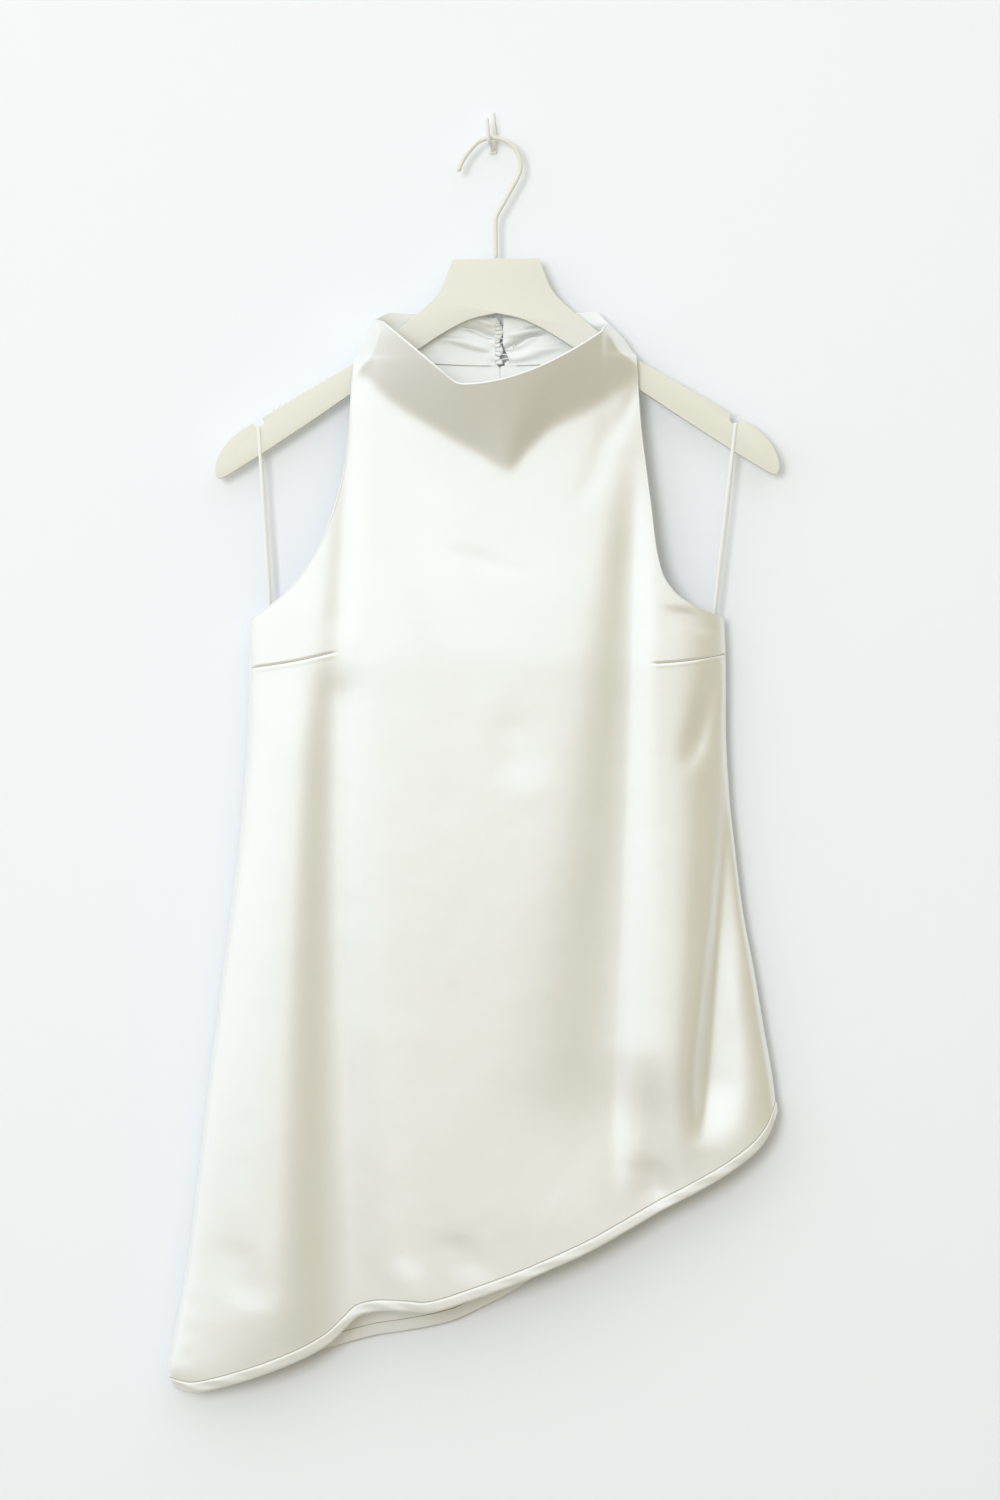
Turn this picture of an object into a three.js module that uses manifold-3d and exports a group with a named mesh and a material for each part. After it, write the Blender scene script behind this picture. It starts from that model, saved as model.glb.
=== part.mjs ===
// Halter neck top in ivory satin, hanging on a flat hanger from a small wall hook.
// Millimetres, +Z up, +X to the viewer's right when the front is seen, the front faces -Y.
// The origin is the hang point: the underside of the hanger's wire, where the wall hook carries it.
// Heights are written as drops, the distance below the hang point.
import * as THREE from 'three';
import Module from 'manifold-3d';

const wasm = await Module();
wasm.setup();

// Cloth and seams
const cloth = 1.2;
const gap = 0.3;
const frontSeamY = 1.0;
const backSeamY = frontSeamY + gap;
const hem = { height: 8.5, thickness: 1.0 };

// Corners of the front on its left and right edge, as drops: neck, shoulder end, underarm, hem
const neck = { left: 142, right: 146 };
const shoulder = { left: 171.5, right: 170 };
const underarm = { left: 380.5, right: 379 };
const corner = { left: 989, right: 771 };

// Side outlines, with the line that the cloth would have across each armhole: drop, x
const leftSide = [
  [142, -92], [156, -100], [171.5, -107], [177, -113], [186, -120], [199, -129.5], [230, -142],
  [280, -159], [330, -177], [380.5, -190.3], [421, -190.5], [470, -192], [545, -197.5], [610, -205],
  [690, -215.5], [762, -224.5], [833, -232.5], [897, -241], [948, -250.5], [976, -255.5], [989, -252],
];
const rightSide = [
  [146, 95], [158, 106.5], [170, 115.2], [174.2, 122.4], [184, 130], [199, 138], [230, 148],
  [280, 161], [330, 175], [379, 185.5], [421, 187], [460, 187], [516, 189.5], [564, 194.5], [611, 200.5],
  [659, 209.5], [706, 217.5], [746, 224.5], [771, 227.5], [900, 262], [1010, 292],
];
// Armhole edges of the front: drop, x
const leftArmhole = [
  [171.5, -107], [200, -109.5], [231, -111], [262, -115], [294, -123], [322, -134],
  [348, -150], [365.5, -168], [376, -182.5], [380.5, -190.3],
];
const rightArmhole = [
  [170, 115.2], [200, 117], [228, 119], [257, 122.5], [288, 126.5], [322, 130.5],
  [344, 135.5], [360, 146], [370, 160.5], [376, 175], [379, 185.5],
];
// The back's armholes are cut a little further in
const backArmholeInset = 3.5;

// How far the front stands forward of its side seams at its middle, and the back behind them: drop, depth
const frontDepths = [
  [140, 10], [193, 17], [260, 20], [320, 24], [380, 29], [421, 31], [550, 31], [700, 29.5], [850, 28], [1000, 26],
];
const backDepths = [[135, 9.4], [172, 11.2], [380, 11.4], [600, 11.8], [1000, 13]];
// The cloth never lies nearer to the seam plane than this share of its full depth
const leastDepthShare = 0.28;

// Fall of each hem below the straight line between its corners: x, fall
const frontHem = [
  [-252, 0], [-231, 12], [-202, 17.5], [-175, 20.5], [-144, 22], [-128.5, 20.5], [-114, 14], [-103.5, 9],
  [-90, 11], [-66, 21], [-45, 31], [-24, 34.5], [42, 39.5], [70, 39.7], [106, 37], [143, 33], [178, 30],
  [206, 24], [220, 14.5], [227.5, 0],
];
const backHem = [
  [-252, 0], [-231, 10], [-203, 16], [-176, 20], [-131, 26], [-93, 33], [-66, 41], [-43, 47], [-24, 50],
  [10, 49], [32, 45.5], [60, 40], [105, 33], [165, 25], [205, 17], [220, 8], [227.5, 0],
];

// Neckline: straight down from the left to a bend, then a shallow curve up to the right
const neckline = { bendX: -20, reach: 121, fall: 55, power: 1.8, leftSlope: 0.84, cornerWidth: 7, rounding: 1.5 };
// The collar stands forward above a V, the edge of its fold, that runs from both shoulders to a point: x, drop
const collarEdge = [
  [-99, 190.3], [-71.4, 211.7], [-31.7, 235.5], [-7.9, 249], [12.7, 261], [29, 244.5], [47.6, 227], [79.3, 211.7],
  [112.6, 191.9],
];
// How far its rim stands forward at the middle, how much its slope eases from the V up to the rim, how widely
// the point of the V spreads out above it, how round its rim's bend is, the drop whose width it takes, and over
// what share of the width it rises from the side seams
const collar = {
  forward: 33, easing: 0.7, softness: 3, leastHeight: 12, spread: 0.6, rounding: 8, widthDrop: 200, edgeShare: 0.13,
};

// Folds of the front: centre line from top to low as x and drop, its bow, the width to the left and to the
// right of it at both ends, how far the cloth stands forward there, and how soon the ends fade
const frontFolds = [
  { top: [-110, 205], low: [-118, 430], bow: 0, left: [7, 16], right: [6, 9], stand: [-3, -6], fade: 0.25 },
  { top: [-117, 385], low: [-101, 1010], bow: -10, left: [16, 46], right: [13, 28], stand: [-8, -14.5], fade: 0.1 },
  { top: [-160, 400], low: [-178, 1010], bow: 4, left: [26, 40], right: [24, 40], stand: [5, 8], fade: 0.15 },
  { top: [114, 230], low: [92, 860], bow: 4, left: [9, 58], right: [9, 15], stand: [-5, -12], fade: 0.2 },
  { top: [172, 300], low: [136, 850], bow: 2, left: [26, 30], right: [14, 18], stand: [4, 6], fade: 0.25 },
  { top: [197, 450], low: [168, 800], bow: 0, left: [6, 9], right: [11, 24], stand: [-11, -17], fade: 0.16 },
  { top: [185, 402], low: [157, 505], bow: 0, left: [8, 10], right: [7, 9], stand: [-5, -6], fade: 0.3 },
  { top: [-98, 205], low: [34, 520], bow: -16, left: [20, 30], right: [20, 34], stand: [-1.6, -2.4], fade: 0.35 },
];
const backFolds = [
  { top: [-110, 400], low: [-140, 1000], bow: 0, left: [22, 30], right: [22, 30], stand: [-3, -5], fade: 0.2 },
  { top: [-20, 380], low: [-40, 1000], bow: 8, left: [30, 40], right: [30, 40], stand: [-2, -5], fade: 0.25 },
  { top: [110, 400], low: [130, 900], bow: -6, left: [22, 34], right: [22, 34], stand: [-3, -5], fade: 0.2 },
];

// Back neckband in two halves, with the slit below it that the buttons close
const band = { topDrop: 136.5, dip: 4, rise: 0.22, lowDrop: 178, meetX: 8.2, meetGap: 4.4, pull: 5.5 };
const slit = { x: 8, halfWidth: 0.35, depth: 125 };

// Buttons on the right half of the band, and the corded loops on the left half that go round them
const button = { x: 15, radius: 4.2, height: 4.2, edge: 1.4, drops: [151.5, 164, 177] };
const cordLoop = { radius: 0.7, root: 6, lift: 0.3 };

// Hanger of flat board with a bent wire hook
const board = { thickness: 5.6, centreX: 3.7, topZ: -94.6, tilt: THREE.MathUtils.degToRad(-0.45) };
const arm = { x: 112.6, z: -176, slope: THREE.MathUtils.degToRad(30.3) };
const grip = { start: 24, pitch: 5.4, count: 10, height: 1.3, width: 2.6 };
const notch = { distance: 89.5, below: 1.6, radius: 4.5 };
const wire = { radius: 1.8, arcX: 2.2, arcZ: -20, arcRadius: 21.8 };

// Ribbon loops that carry the sides of the top from the hanger's notches
const ribbon = { width: 2.6, thickness: 0.6, frontEndY: -1.4, backEndY: 1.7 };
const loopAnchors = { left: { x: -173.5, drop: 388 }, right: { x: 176, drop: 388 } };

// Wall hook: a pointed plate on the wall and a bent prong that carries the hanger's wire
const wallY = 20;
const wallPlate = { x: 2.2, width: 6.2, thickness: 2, tip: 1.8, top: 25, waist: 6, low: -8 };
const prongRadius = 1.6;

const mix = THREE.MathUtils.lerp;
const clamp = THREE.MathUtils.clamp;
const smooth = THREE.MathUtils.smoothstep;

// A smooth curve through table rows of position and value, with no overshoot between them
function curveThrough(rows) {
  const steps = rows.slice(1).map((row, i) => (row[1] - rows[i][1]) / (row[0] - rows[i][0]));
  const slopes = rows.map((row, i) => {
    if (i === 0) return steps[0];
    if (i === rows.length - 1) return steps[i - 1];
    const product = steps[i - 1] * steps[i];
    return product <= 0 ? 0 : (2 * product) / (steps[i - 1] + steps[i]);
  });
  return (position) => {
    const p = clamp(position, rows[0][0], rows[rows.length - 1][0]);
    let i = 0;
    while (i < rows.length - 2 && p > rows[i + 1][0]) i += 1;
    const span = rows[i + 1][0] - rows[i][0];
    const t = (p - rows[i][0]) / span;
    const rise = t * t * (3 - 2 * t);
    return mix(rows[i][1], rows[i + 1][1], rise)
      + t * (1 - t) * span * ((1 - t) * slopes[i] - t * slopes[i + 1]);
  };
}

const sideX = { left: curveThrough(leftSide), right: curveThrough(rightSide) };
const armholeX = { left: curveThrough(leftArmhole), right: curveThrough(rightArmhole) };
const frontDepth = curveThrough(frontDepths);
const collarFold = curveThrough(collarEdge);
const backDepth = curveThrough(backDepths);
const hemFall = { front: curveThrough(frontHem), back: curveThrough(backHem) };

// Place across the garment: -1 on the left side line, +1 on the right
function across(x, drop) {
  const left = sideX.left(drop);
  const right = sideX.right(drop);
  return clamp((2 * x - left - right) / (right - left), -1, 1);
}

// Share of the full depth: a flat middle that turns in steeply at both sides
function roundness(r) {
  return Math.sqrt(Math.max(0, 1 - Math.abs(r) ** 3));
}

// How far a table of folds moves the cloth forward at a point
function foldStand(folds, x, drop) {
  let sum = 0;
  for (const fold of folds) {
    const t = (drop - fold.top[1]) / (fold.low[1] - fold.top[1]);
    if (t > 0 && t < 1) {
      const centre = mix(fold.top[0], fold.low[0], t) + fold.bow * 4 * t * (1 - t);
      const width = x < centre ? mix(...fold.left, t) : mix(...fold.right, t);
      const ends = smooth(t, 0, fold.fade) * smooth(1 - t, 0, fold.fade);
      sum += mix(...fold.stand, t) * ends * Math.exp(-(((x - centre) / width) ** 2));
    }
  }
  return sum;
}

// log(1 + exp(t)): rises smoothly from nothing to t
function softRise(t) {
  return t > 30 ? t : Math.log1p(Math.exp(t));
}

// A depth with its folds, kept clear of the seam plane by a soft floor
function foldedDepth(full, folds) {
  const share = full > 0.01 ? 1 + folds / full : 1;
  const sharpness = 6;
  return full * (leastDepthShare + softRise(sharpness * (share - leastDepthShare)) / sharpness);
}

// The V's edge near x, averaged over a width that grows with the height above it
function edgeAround(x, drop) {
  const reach = collar.spread * Math.max(0, collarFold(x) - drop);
  let sum = 0;
  for (let i = -3; i <= 3; i += 1) sum += (4 - Math.abs(i)) * collarFold(x + (i * reach) / 3);
  return sum / 16;
}

// How far the collar stands forward: most at its rim, steepest just above its V
function collarLean(x, drop, r) {
  const left = sideX.left(neck.left);
  const right = sideX.right(neck.right);
  const level = mix(neck.left, neck.right, clamp((x - left) / (right - left), 0, 1));
  const rim = level + neckFall(x, left, right, collar.rounding);
  const edge = edgeAround(x, drop);
  const height = Math.max(collar.leastHeight, edge - rim);
  const share = (collar.softness * softRise((edge - drop) / collar.softness)) / height;
  const rise = Math.sin(collar.easing * Math.min(share, 1.2)) / Math.sin(collar.easing);
  const edgeRise = smooth(1 - Math.abs(r), 0, collar.edgeShare);
  return collar.forward * roundness(across(x, collar.widthDrop)) * edgeRise * rise;
}

// The seams stay straight: folds die out just before them
function seamFade(r) {
  return 1 - Math.abs(r) ** 8;
}

function frontY(x, drop) {
  const r = across(x, drop);
  const full = frontDepth(drop) * roundness(r) + collarLean(x, drop, r);
  return frontSeamY - foldedDepth(full, foldStand(frontFolds, x, drop) * seamFade(r));
}

function backY(x, drop) {
  const r = across(x, drop);
  const full = backDepth(drop) * roundness(r);
  return backSeamY + foldedDepth(full, foldStand(backFolds, x, drop) * seamFade(r));
}

// Outward normal of the front or back at a point
function normalAt(surfaceY, x, drop) {
  const step = 0.4;
  const slopeX = (surfaceY(x + step, drop) - surfaceY(x - step, drop)) / (2 * step);
  const slopeDown = (surfaceY(x, drop + step) - surfaceY(x, drop - step)) / (2 * step);
  const facing = surfaceY === frontY ? 1 : -1;
  return new THREE.Vector3(slopeX * facing, -facing, -slopeDown * facing).normalize();
}

// Fall of the neckline below the line between its corners
function neckFall(x, leftX, rightX, rounding = neckline.rounding) {
  const fromLeft = Math.max(0, neckline.leftSlope * (x - leftX));
  const bend = Math.abs(x - neckline.bendX) / neckline.reach;
  const curve = neckline.fall * (1 - Math.min(1, bend) ** neckline.power);
  const least = fromLeft - rounding * softRise((fromLeft - curve) / rounding);
  return least * clamp((rightX - x) / neckline.cornerWidth, 0, 1);
}

// Lower edge of the neckband
function bandLowDrop(x) {
  const left = sideX.left(shoulder.left);
  const share = clamp((x - left) / (sideX.right(shoulder.right) - left), 0, 1);
  return mix(mix(shoulder.left, shoulder.right, share), band.lowDrop, Math.sin(Math.PI * share));
}

// Columns run from the left edge to the right, closer together at both edges
function columnShare(u) {
  return mix(u, (1 - Math.cos(Math.PI * u)) / 2, 0.5);
}

// A wall between an outer and an inner grid of points, closed all round
function wallBetween(outer, inner) {
  const rows = outer.length;
  const columns = outer[0].length;
  const at = (row, column, layer) => (layer * rows + row) * columns + column;
  const triangles = [];
  const quad = (a, b, c, d) => triangles.push([a, b, c], [a, c, d]);
  for (let j = 0; j < rows - 1; j += 1) {
    for (let i = 0; i < columns - 1; i += 1) {
      quad(at(j, i, 0), at(j, i + 1, 0), at(j + 1, i + 1, 0), at(j + 1, i, 0));
      quad(at(j, i, 1), at(j + 1, i, 1), at(j + 1, i + 1, 1), at(j, i + 1, 1));
    }
  }
  for (let i = 0; i < columns - 1; i += 1) {
    quad(at(0, i, 0), at(0, i, 1), at(0, i + 1, 1), at(0, i + 1, 0));
    quad(at(rows - 1, i, 0), at(rows - 1, i + 1, 0), at(rows - 1, i + 1, 1), at(rows - 1, i, 1));
  }
  for (let j = 0; j < rows - 1; j += 1) {
    quad(at(j, 0, 0), at(j + 1, 0, 0), at(j + 1, 0, 1), at(j, 0, 1));
    quad(at(j, columns - 1, 0), at(j, columns - 1, 1), at(j + 1, columns - 1, 1), at(j + 1, columns - 1, 0));
  }
  return closedGeometry([...outer.flat(), ...inner.flat()], triangles);
}

// A closed geometry from vertices and triangles, turned so that its faces point out
function closedGeometry(vertices, triangles) {
  let volume = 0;
  for (const [a, b, c] of triangles) {
    volume += vertices[a].dot(new THREE.Vector3().crossVectors(vertices[b], vertices[c]));
  }
  const outward = triangles.map(([a, b, c]) => (volume < 0 ? [a, c, b] : [a, b, c]));
  const geometry = new THREE.BufferGeometry();
  geometry.setAttribute('position', new THREE.Float32BufferAttribute(vertices.flatMap((p) => p.toArray()), 3));
  geometry.setIndex(outward.flat());
  return geometry;
}

// Moves a grid of surface points along their normals
function movedOut(grid, distance) {
  return grid.map((row) => row.map(({ point, normal }) => point.clone().addScaledVector(normal, distance)));
}

function clothWall(grid) {
  return wallBetween(movedOut(grid, 0), movedOut(grid, -cloth));
}

// A strip that lies on the outside of the last two rows of a panel
function hemStrip(grid) {
  const rows = grid.slice(-2);
  return wallBetween(movedOut(rows, gap + hem.thickness), movedOut(rows, gap));
}

// One row of a panel: level is its drop at both ends, ends its x there, seam says whether it ends on a seam
function panelRow(columns, row, surfaceY) {
  const points = [];
  for (let i = 0; i <= columns; i += 1) {
    const share = columnShare(i / columns);
    const x = mix(row.ends.left, row.ends.right, share);
    const drop = mix(row.level.left, row.level.right, share) + row.fall(x, share);
    const onSeam = row.seam && (i === 0 || i === columns);
    const point = new THREE.Vector3(x, surfaceY(x, drop), -drop);
    const normal = onSeam ? new THREE.Vector3(i === 0 ? -1 : 1, 0, 0) : normalAt(surfaceY, x, drop);
    points.push({ point, normal });
  }
  return points;
}

function rowEnds(edge, level, inset = 0) {
  return { left: edge.left(level.left) + inset, right: edge.right(level.right) - inset };
}

function levelBetween(from, to, t) {
  return { left: mix(from.left, to.left, t), right: mix(from.right, to.right, t) };
}

// Rows of the front's collar part, from the neckline to the shoulder ends
function collarRows(count) {
  const rows = [];
  for (let j = 0; j < count; j += 1) {
    const level = levelBetween(neck, shoulder, j / count);
    rows.push({ level, ends: rowEnds(sideX, level), seam: true });
  }
  return rows;
}

// Rows between the armholes, closer together at the shoulders and most of all at the underarms
function armholeRows(count, inset) {
  const rows = [];
  for (let j = 0; j < count; j += 1) {
    const above = (1 + Math.cos((Math.PI * j) / count)) / 2;
    const level = levelBetween(shoulder, underarm, 1 - above ** 1.35);
    rows.push({ level, ends: rowEnds(armholeX, level, inset * Math.sin((Math.PI * j) / count)), seam: false });
  }
  return rows;
}

// Rows from the underarms to the hem's lower edge, the last one hem.height above it
function bodyRows(count) {
  const rows = [];
  for (let j = 0; j <= count; j += 1) {
    const level = levelBetween(underarm, corner, j / count);
    rows.push({ level, ends: rowEnds(sideX, level), seam: true, towardsHem: j / count });
  }
  const last = rows[count];
  const top = { left: corner.left - hem.height, right: corner.right - hem.height };
  rows.splice(count - 1, 1, { ...last, level: top, ends: rowEnds(sideX, top) });
  return rows;
}

function frontGrid(columns) {
  const rows = [...collarRows(3), ...armholeRows(11, 0), ...bodyRows(16)];
  rows[3].seam = true;
  const reach = underarm.left - neck.left;
  return rows.map((row) => {
    const nearNeck = Math.max(0, 1 - (row.level.left - neck.left) / reach) ** 2;
    const nearHem = (row.towardsHem ?? 0) ** 2;
    const neckEnds = rowEnds(sideX, neck);
    const fall = (x, share) => neckFall(x, neckEnds.left, neckEnds.right) * nearNeck
      + hemFall.front(mix(frontHem[0][0], frontHem.at(-1)[0], share)) * nearHem;
    return panelRow(columns, { ...row, fall }, frontY);
  });
}

function backGrid(columns) {
  const rows = [...armholeRows(10, backArmholeInset), ...bodyRows(12)];
  const reach = (underarm.left - shoulder.left) / 2;
  return rows.map((row) => {
    const nearBand = Math.max(0, 1 - (row.level.left - shoulder.left) / reach);
    const nearHem = (row.towardsHem ?? 0) ** 2;
    const fall = (x, share) => (bandLowDrop(x) + gap - mix(shoulder.left, shoulder.right, share)) * nearBand
      + hemFall.back(mix(backHem[0][0], backHem.at(-1)[0], share)) * nearHem;
    return panelRow(columns, { ...row, fall }, backY);
  });
}

// Half of the neckband: u runs from the shoulder seam to the end at the centre back, v down. The lowest button
// pulls the low corner of the right half aside.
function bandGrid(side, columns, rows) {
  const sign = side === 'left' ? -1 : 1;
  const grid = [];
  for (let j = 0; j <= rows; j += 1) {
    const v = j / rows;
    const seamDrop = mix(neck[side], shoulder[side], v);
    const pulled = side === 'right' ? band.pull * smooth(v, 0.5, 1) : 0;
    const meet = band.meetX + (sign * band.meetGap) / 2 + pulled;
    const row = [];
    for (let i = 0; i <= columns; i += 1) {
      const u = i / columns;
      const x = mix(sideX[side](seamDrop), meet, mix(u, 1 - Math.cos((Math.PI * u) / 2), 0.5));
      const top = mix(neck[side], band.topDrop, smooth(u, 0, band.rise)) + band.dip * smooth(u, band.rise, 1);
      const drop = i === 0 ? seamDrop : mix(top, bandLowDrop(x), v);
      const point = new THREE.Vector3(x, backY(x, drop), -drop);
      row.push({ point, normal: i === 0 ? new THREE.Vector3(sign, 0, 0) : normalAt(backY, x, drop) });
    }
    grid.push(side === 'left' ? row : row.reverse());
  }
  return grid;
}

// A geometry as a manifold solid, with vertices merged by place
function toSolid(geometry) {
  const position = geometry.getAttribute('position');
  const places = new Map();
  const vertices = [];
  const indexOf = (i) => {
    const place = [position.getX(i), position.getY(i), position.getZ(i)];
    const key = place.map((n) => n.toFixed(4)).join();
    if (!places.has(key)) {
      places.set(key, places.size);
      vertices.push(...place);
    }
    return places.get(key);
  };
  const order = geometry.index ? [...geometry.index.array] : [...Array(position.count).keys()];
  const faces = [];
  for (let i = 0; i < order.length; i += 3) {
    const face = order.slice(i, i + 3).map(indexOf);
    if (new Set(face).size === 3) faces.push(...face);
  }
  return new wasm.Manifold(new wasm.Mesh({
    numProp: 3,
    vertProperties: new Float32Array(vertices),
    triVerts: new Uint32Array(faces),
  }));
}

function toGeometry(solid) {
  const mesh = solid.getMesh();
  const geometry = new THREE.BufferGeometry();
  geometry.setAttribute('position', new THREE.BufferAttribute(mesh.vertProperties, 3));
  geometry.setIndex(new THREE.BufferAttribute(mesh.triVerts, 1));
  return geometry;
}

// An outline in X and Z made a plate from one y to another
function plateOf(outline, nearY, farY) {
  const shape = new THREE.Shape(outline.map(([x, z]) => new THREE.Vector2(x, z)));
  const geometry = new THREE.ExtrudeGeometry(shape, { depth: farY - nearY, bevelEnabled: false });
  geometry.rotateX(Math.PI / 2);
  geometry.translate(0, farY, 0);
  return geometry;
}

// A round wire along a smooth path through points
function wireAlong(points, radius, sides, steps) {
  const ring = [];
  for (let i = 0; i < sides; i += 1) {
    const angle = (2 * Math.PI * i) / sides;
    ring.push(new THREE.Vector2(radius * Math.cos(angle), radius * Math.sin(angle)));
  }
  const path = new THREE.CatmullRomCurve3(points.map((p) => new THREE.Vector3(...p)));
  return new THREE.ExtrudeGeometry(new THREE.Shape(ring), { steps, extrudePath: path });
}

// The slit's outline: a long narrow half ellipse that hangs from the neckband
function slitOutline() {
  const steps = 24;
  const top = -shoulder.left;
  const outline = [[slit.x + slit.halfWidth, top], [slit.x - slit.halfWidth, top]];
  for (let i = 0; i <= steps; i += 1) {
    const angle = (Math.PI * i) / steps;
    const x = slit.x - slit.halfWidth * Math.cos(angle);
    outline.push([x, -band.lowDrop - slit.depth * Math.sin(angle)]);
  }
  return outline;
}

function backPanel() {
  const wall = toSolid(clothWall(backGrid(30)));
  const cutter = toSolid(plateOf(slitOutline(), backSeamY, wallY));
  return toGeometry(wall.subtract(cutter));
}

// A point on the upper edge of the hanger's arm, measured along it, raised across it
function armPoint(distance, raise = 0) {
  const x = arm.x + distance * Math.cos(arm.slope) + raise * Math.sin(arm.slope);
  const z = arm.z - distance * Math.sin(arm.slope) + raise * Math.cos(arm.slope);
  return new THREE.Vector2(x, z);
}

// Half of the board's outline, from the middle of its top edge round the arm's tip to the middle below
function boardHalfOutline() {
  const shoulderCurve = new THREE.SplineCurve([[34.3, board.topZ], [38.6, -106], [43.4, -117.4], [50.5, -127],
    [62, -137.5], [84, -155.3], [arm.x, arm.z]].map(([x, z]) => new THREE.Vector2(x, z)));
  const points = [new THREE.Vector2(0, board.topZ), ...shoulderCurve.getPoints(14)];
  for (let i = 0; i < grip.count; i += 1) {
    const distance = grip.start + i * grip.pitch;
    points.push(armPoint(distance), armPoint(distance + grip.width / 2, grip.height), armPoint(distance + grip.width));
  }
  const centre = armPoint(notch.distance, -notch.below);
  const mouth = Math.acos(notch.below / notch.radius);
  const upAngle = Math.PI / 2 - arm.slope;
  for (let i = 0; i <= 12; i += 1) {
    const angle = mix(upAngle + mouth, upAngle + 2 * Math.PI - mouth, i / 12);
    points.push(new THREE.Vector2(Math.cos(angle), Math.sin(angle)).multiplyScalar(notch.radius).add(centre));
  }
  const tip = new THREE.CubicBezierCurve(armPoint(97), new THREE.Vector2(210, -231),
    new THREE.Vector2(223.8, -247), new THREE.Vector2(223.8, -261));
  const heel = new THREE.QuadraticBezierCurve(new THREE.Vector2(223.8, -261), new THREE.Vector2(223.2, -270),
    new THREE.Vector2(215.5, -265.5));
  const under = new THREE.SplineCurve([[215.5, -265.5], [189, -249.3], [150, -224], [113, -199], [64.4, -167.5],
    [42, -153], [21, -142.4], [0, -137.6]].map(([x, z]) => new THREE.Vector2(x, z)));
  return [...points, ...tip.getPoints(8).slice(0, -1), ...heel.getPoints(4).slice(0, -1), ...under.getPoints(20)];
}

function hangerBoard() {
  const half = boardHalfOutline().map((p) => [p.x, p.y]);
  const mirrored = half.slice(1, -1).reverse().map(([x, z]) => [-x, z]);
  const outline = [...half, ...mirrored].map(([x, z]) => [x + board.centreX, z]);
  return plateOf(outline, -board.thickness / 2, board.thickness / 2);
}

// The hook: a stem, a bend, and an arc over the hang point that ends in a flared tip
function hangerHook() {
  const points = [[board.centreX, board.topZ + gap], [board.centreX, -80], [board.centreX, -67],
    [4.6, -60.5], [8, -54], [14, -43.5]];
  for (let degrees = -32; degrees <= 128; degrees += 16) {
    const angle = THREE.MathUtils.degToRad(degrees);
    points.push([wire.arcX + wire.arcRadius * Math.cos(angle), wire.arcZ + wire.arcRadius * Math.sin(angle)]);
  }
  points.push([-20.6, -14], [-25.6, -25]);
  return wireAlong(points.map(([x, z]) => [x, 0, z]), wire.radius, 8, 40);
}

function wallHook() {
  const half = wallPlate.width / 2;
  const outline = [[-half, wallPlate.low], [half, wallPlate.low], [half, wallPlate.waist],
    [wallPlate.tip / 2, wallPlate.top], [-wallPlate.tip / 2, wallPlate.top], [-half, wallPlate.waist]];
  const plate = plateOf(outline.map(([x, z]) => [x + wallPlate.x, z]), wallY - wallPlate.thickness, wallY);
  const prong = wireAlong([[1.8, wallY - 0.6, -5.2], [1.4, 13, -4.4], [0.6, 5, -2.2], [0.1, 0, -2.1],
    [-0.8, -4.6, -0.4], [-1.6, -6.6, 4.5], [-2.6, -7.2, 17]], prongRadius, 8, 22);
  return toGeometry(toSolid(plate).add(toSolid(prong)));
}

// The lowest point of the hanger's notch on one side
function notchBottom(side) {
  const centre = armPoint(notch.distance, -notch.below);
  const sign = side === 'left' ? -1 : 1;
  const place = new THREE.Vector3(sign * centre.x + board.centreX, 0, centre.y - notch.radius);
  return place.applyAxisAngle(new THREE.Vector3(0, 1, 0), board.tilt);
}

// A flat ribbon along a path, with its width across X
function ribbonAlong(path, steps) {
  const outer = [];
  const inner = [];
  for (let i = 0; i <= steps; i += 1) {
    const point = path.getPoint(i / steps);
    const tangent = path.getTangent(i / steps);
    const normal = new THREE.Vector3(1, 0, 0).cross(tangent).normalize();
    const sideways = tangent.clone().cross(normal).normalize();
    const place = (w, t) => point.clone().addScaledVector(sideways, w * ribbon.width)
      .addScaledVector(normal, t * ribbon.thickness);
    outer.push([place(-0.5, 0.5), place(0.5, 0.5)]);
    inner.push([place(-0.5, -0.5), place(0.5, -0.5)]);
  }
  return wallBetween(outer, inner);
}

// A hanger loop: from inside the underarm up in front of the arm, over the notch and down behind it
function hangerLoop(side) {
  const anchor = loopAnchors[side];
  const top = notchBottom(side);
  const beside = board.thickness / 2 + gap + ribbon.thickness / 2;
  const over = top.z + 1.7 * gap + ribbon.thickness / 2;
  const at = (t, y) => new THREE.Vector3(mix(anchor.x, top.x, t), y, mix(-anchor.drop, over, t));
  const path = new THREE.CatmullRomCurve3([
    at(0, ribbon.frontEndY), at(0.35, mix(ribbon.frontEndY, -beside, 0.6)), at(0.78, -beside), at(0.97, -beside),
    new THREE.Vector3(top.x, -beside + 0.1, over - 0.3), new THREE.Vector3(top.x, -beside + 0.9, over + 0.05),
    new THREE.Vector3(top.x, beside - 0.9, over + 0.05), new THREE.Vector3(top.x, beside - 0.1, over - 0.3),
    at(0.97, beside), at(0.78, beside), at(0.35, mix(ribbon.backEndY, beside, 0.6)), at(0, ribbon.backEndY),
  ], false, 'catmullrom', 0.4);
  return ribbonAlong(path, 4 * (path.points.length - 1));
}

// A covered button on the outside of the band: a low dome on a flat base
function coveredButton(drop) {
  const profile = [new THREE.Vector2(0, 0), new THREE.Vector2(button.radius * 0.8, 0)];
  for (let i = 0; i <= 5; i += 1) {
    const angle = (Math.PI * i) / 10;
    const height = mix(button.edge, button.height, Math.sin(angle));
    profile.push(new THREE.Vector2(i === 5 ? 0 : button.radius * Math.cos(angle), height));
  }
  const geometry = new THREE.LatheGeometry(profile, 14);
  geometry.translate(button.x, backY(button.x, drop) + 1.5 * gap, -drop);
  return geometry;
}

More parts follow.
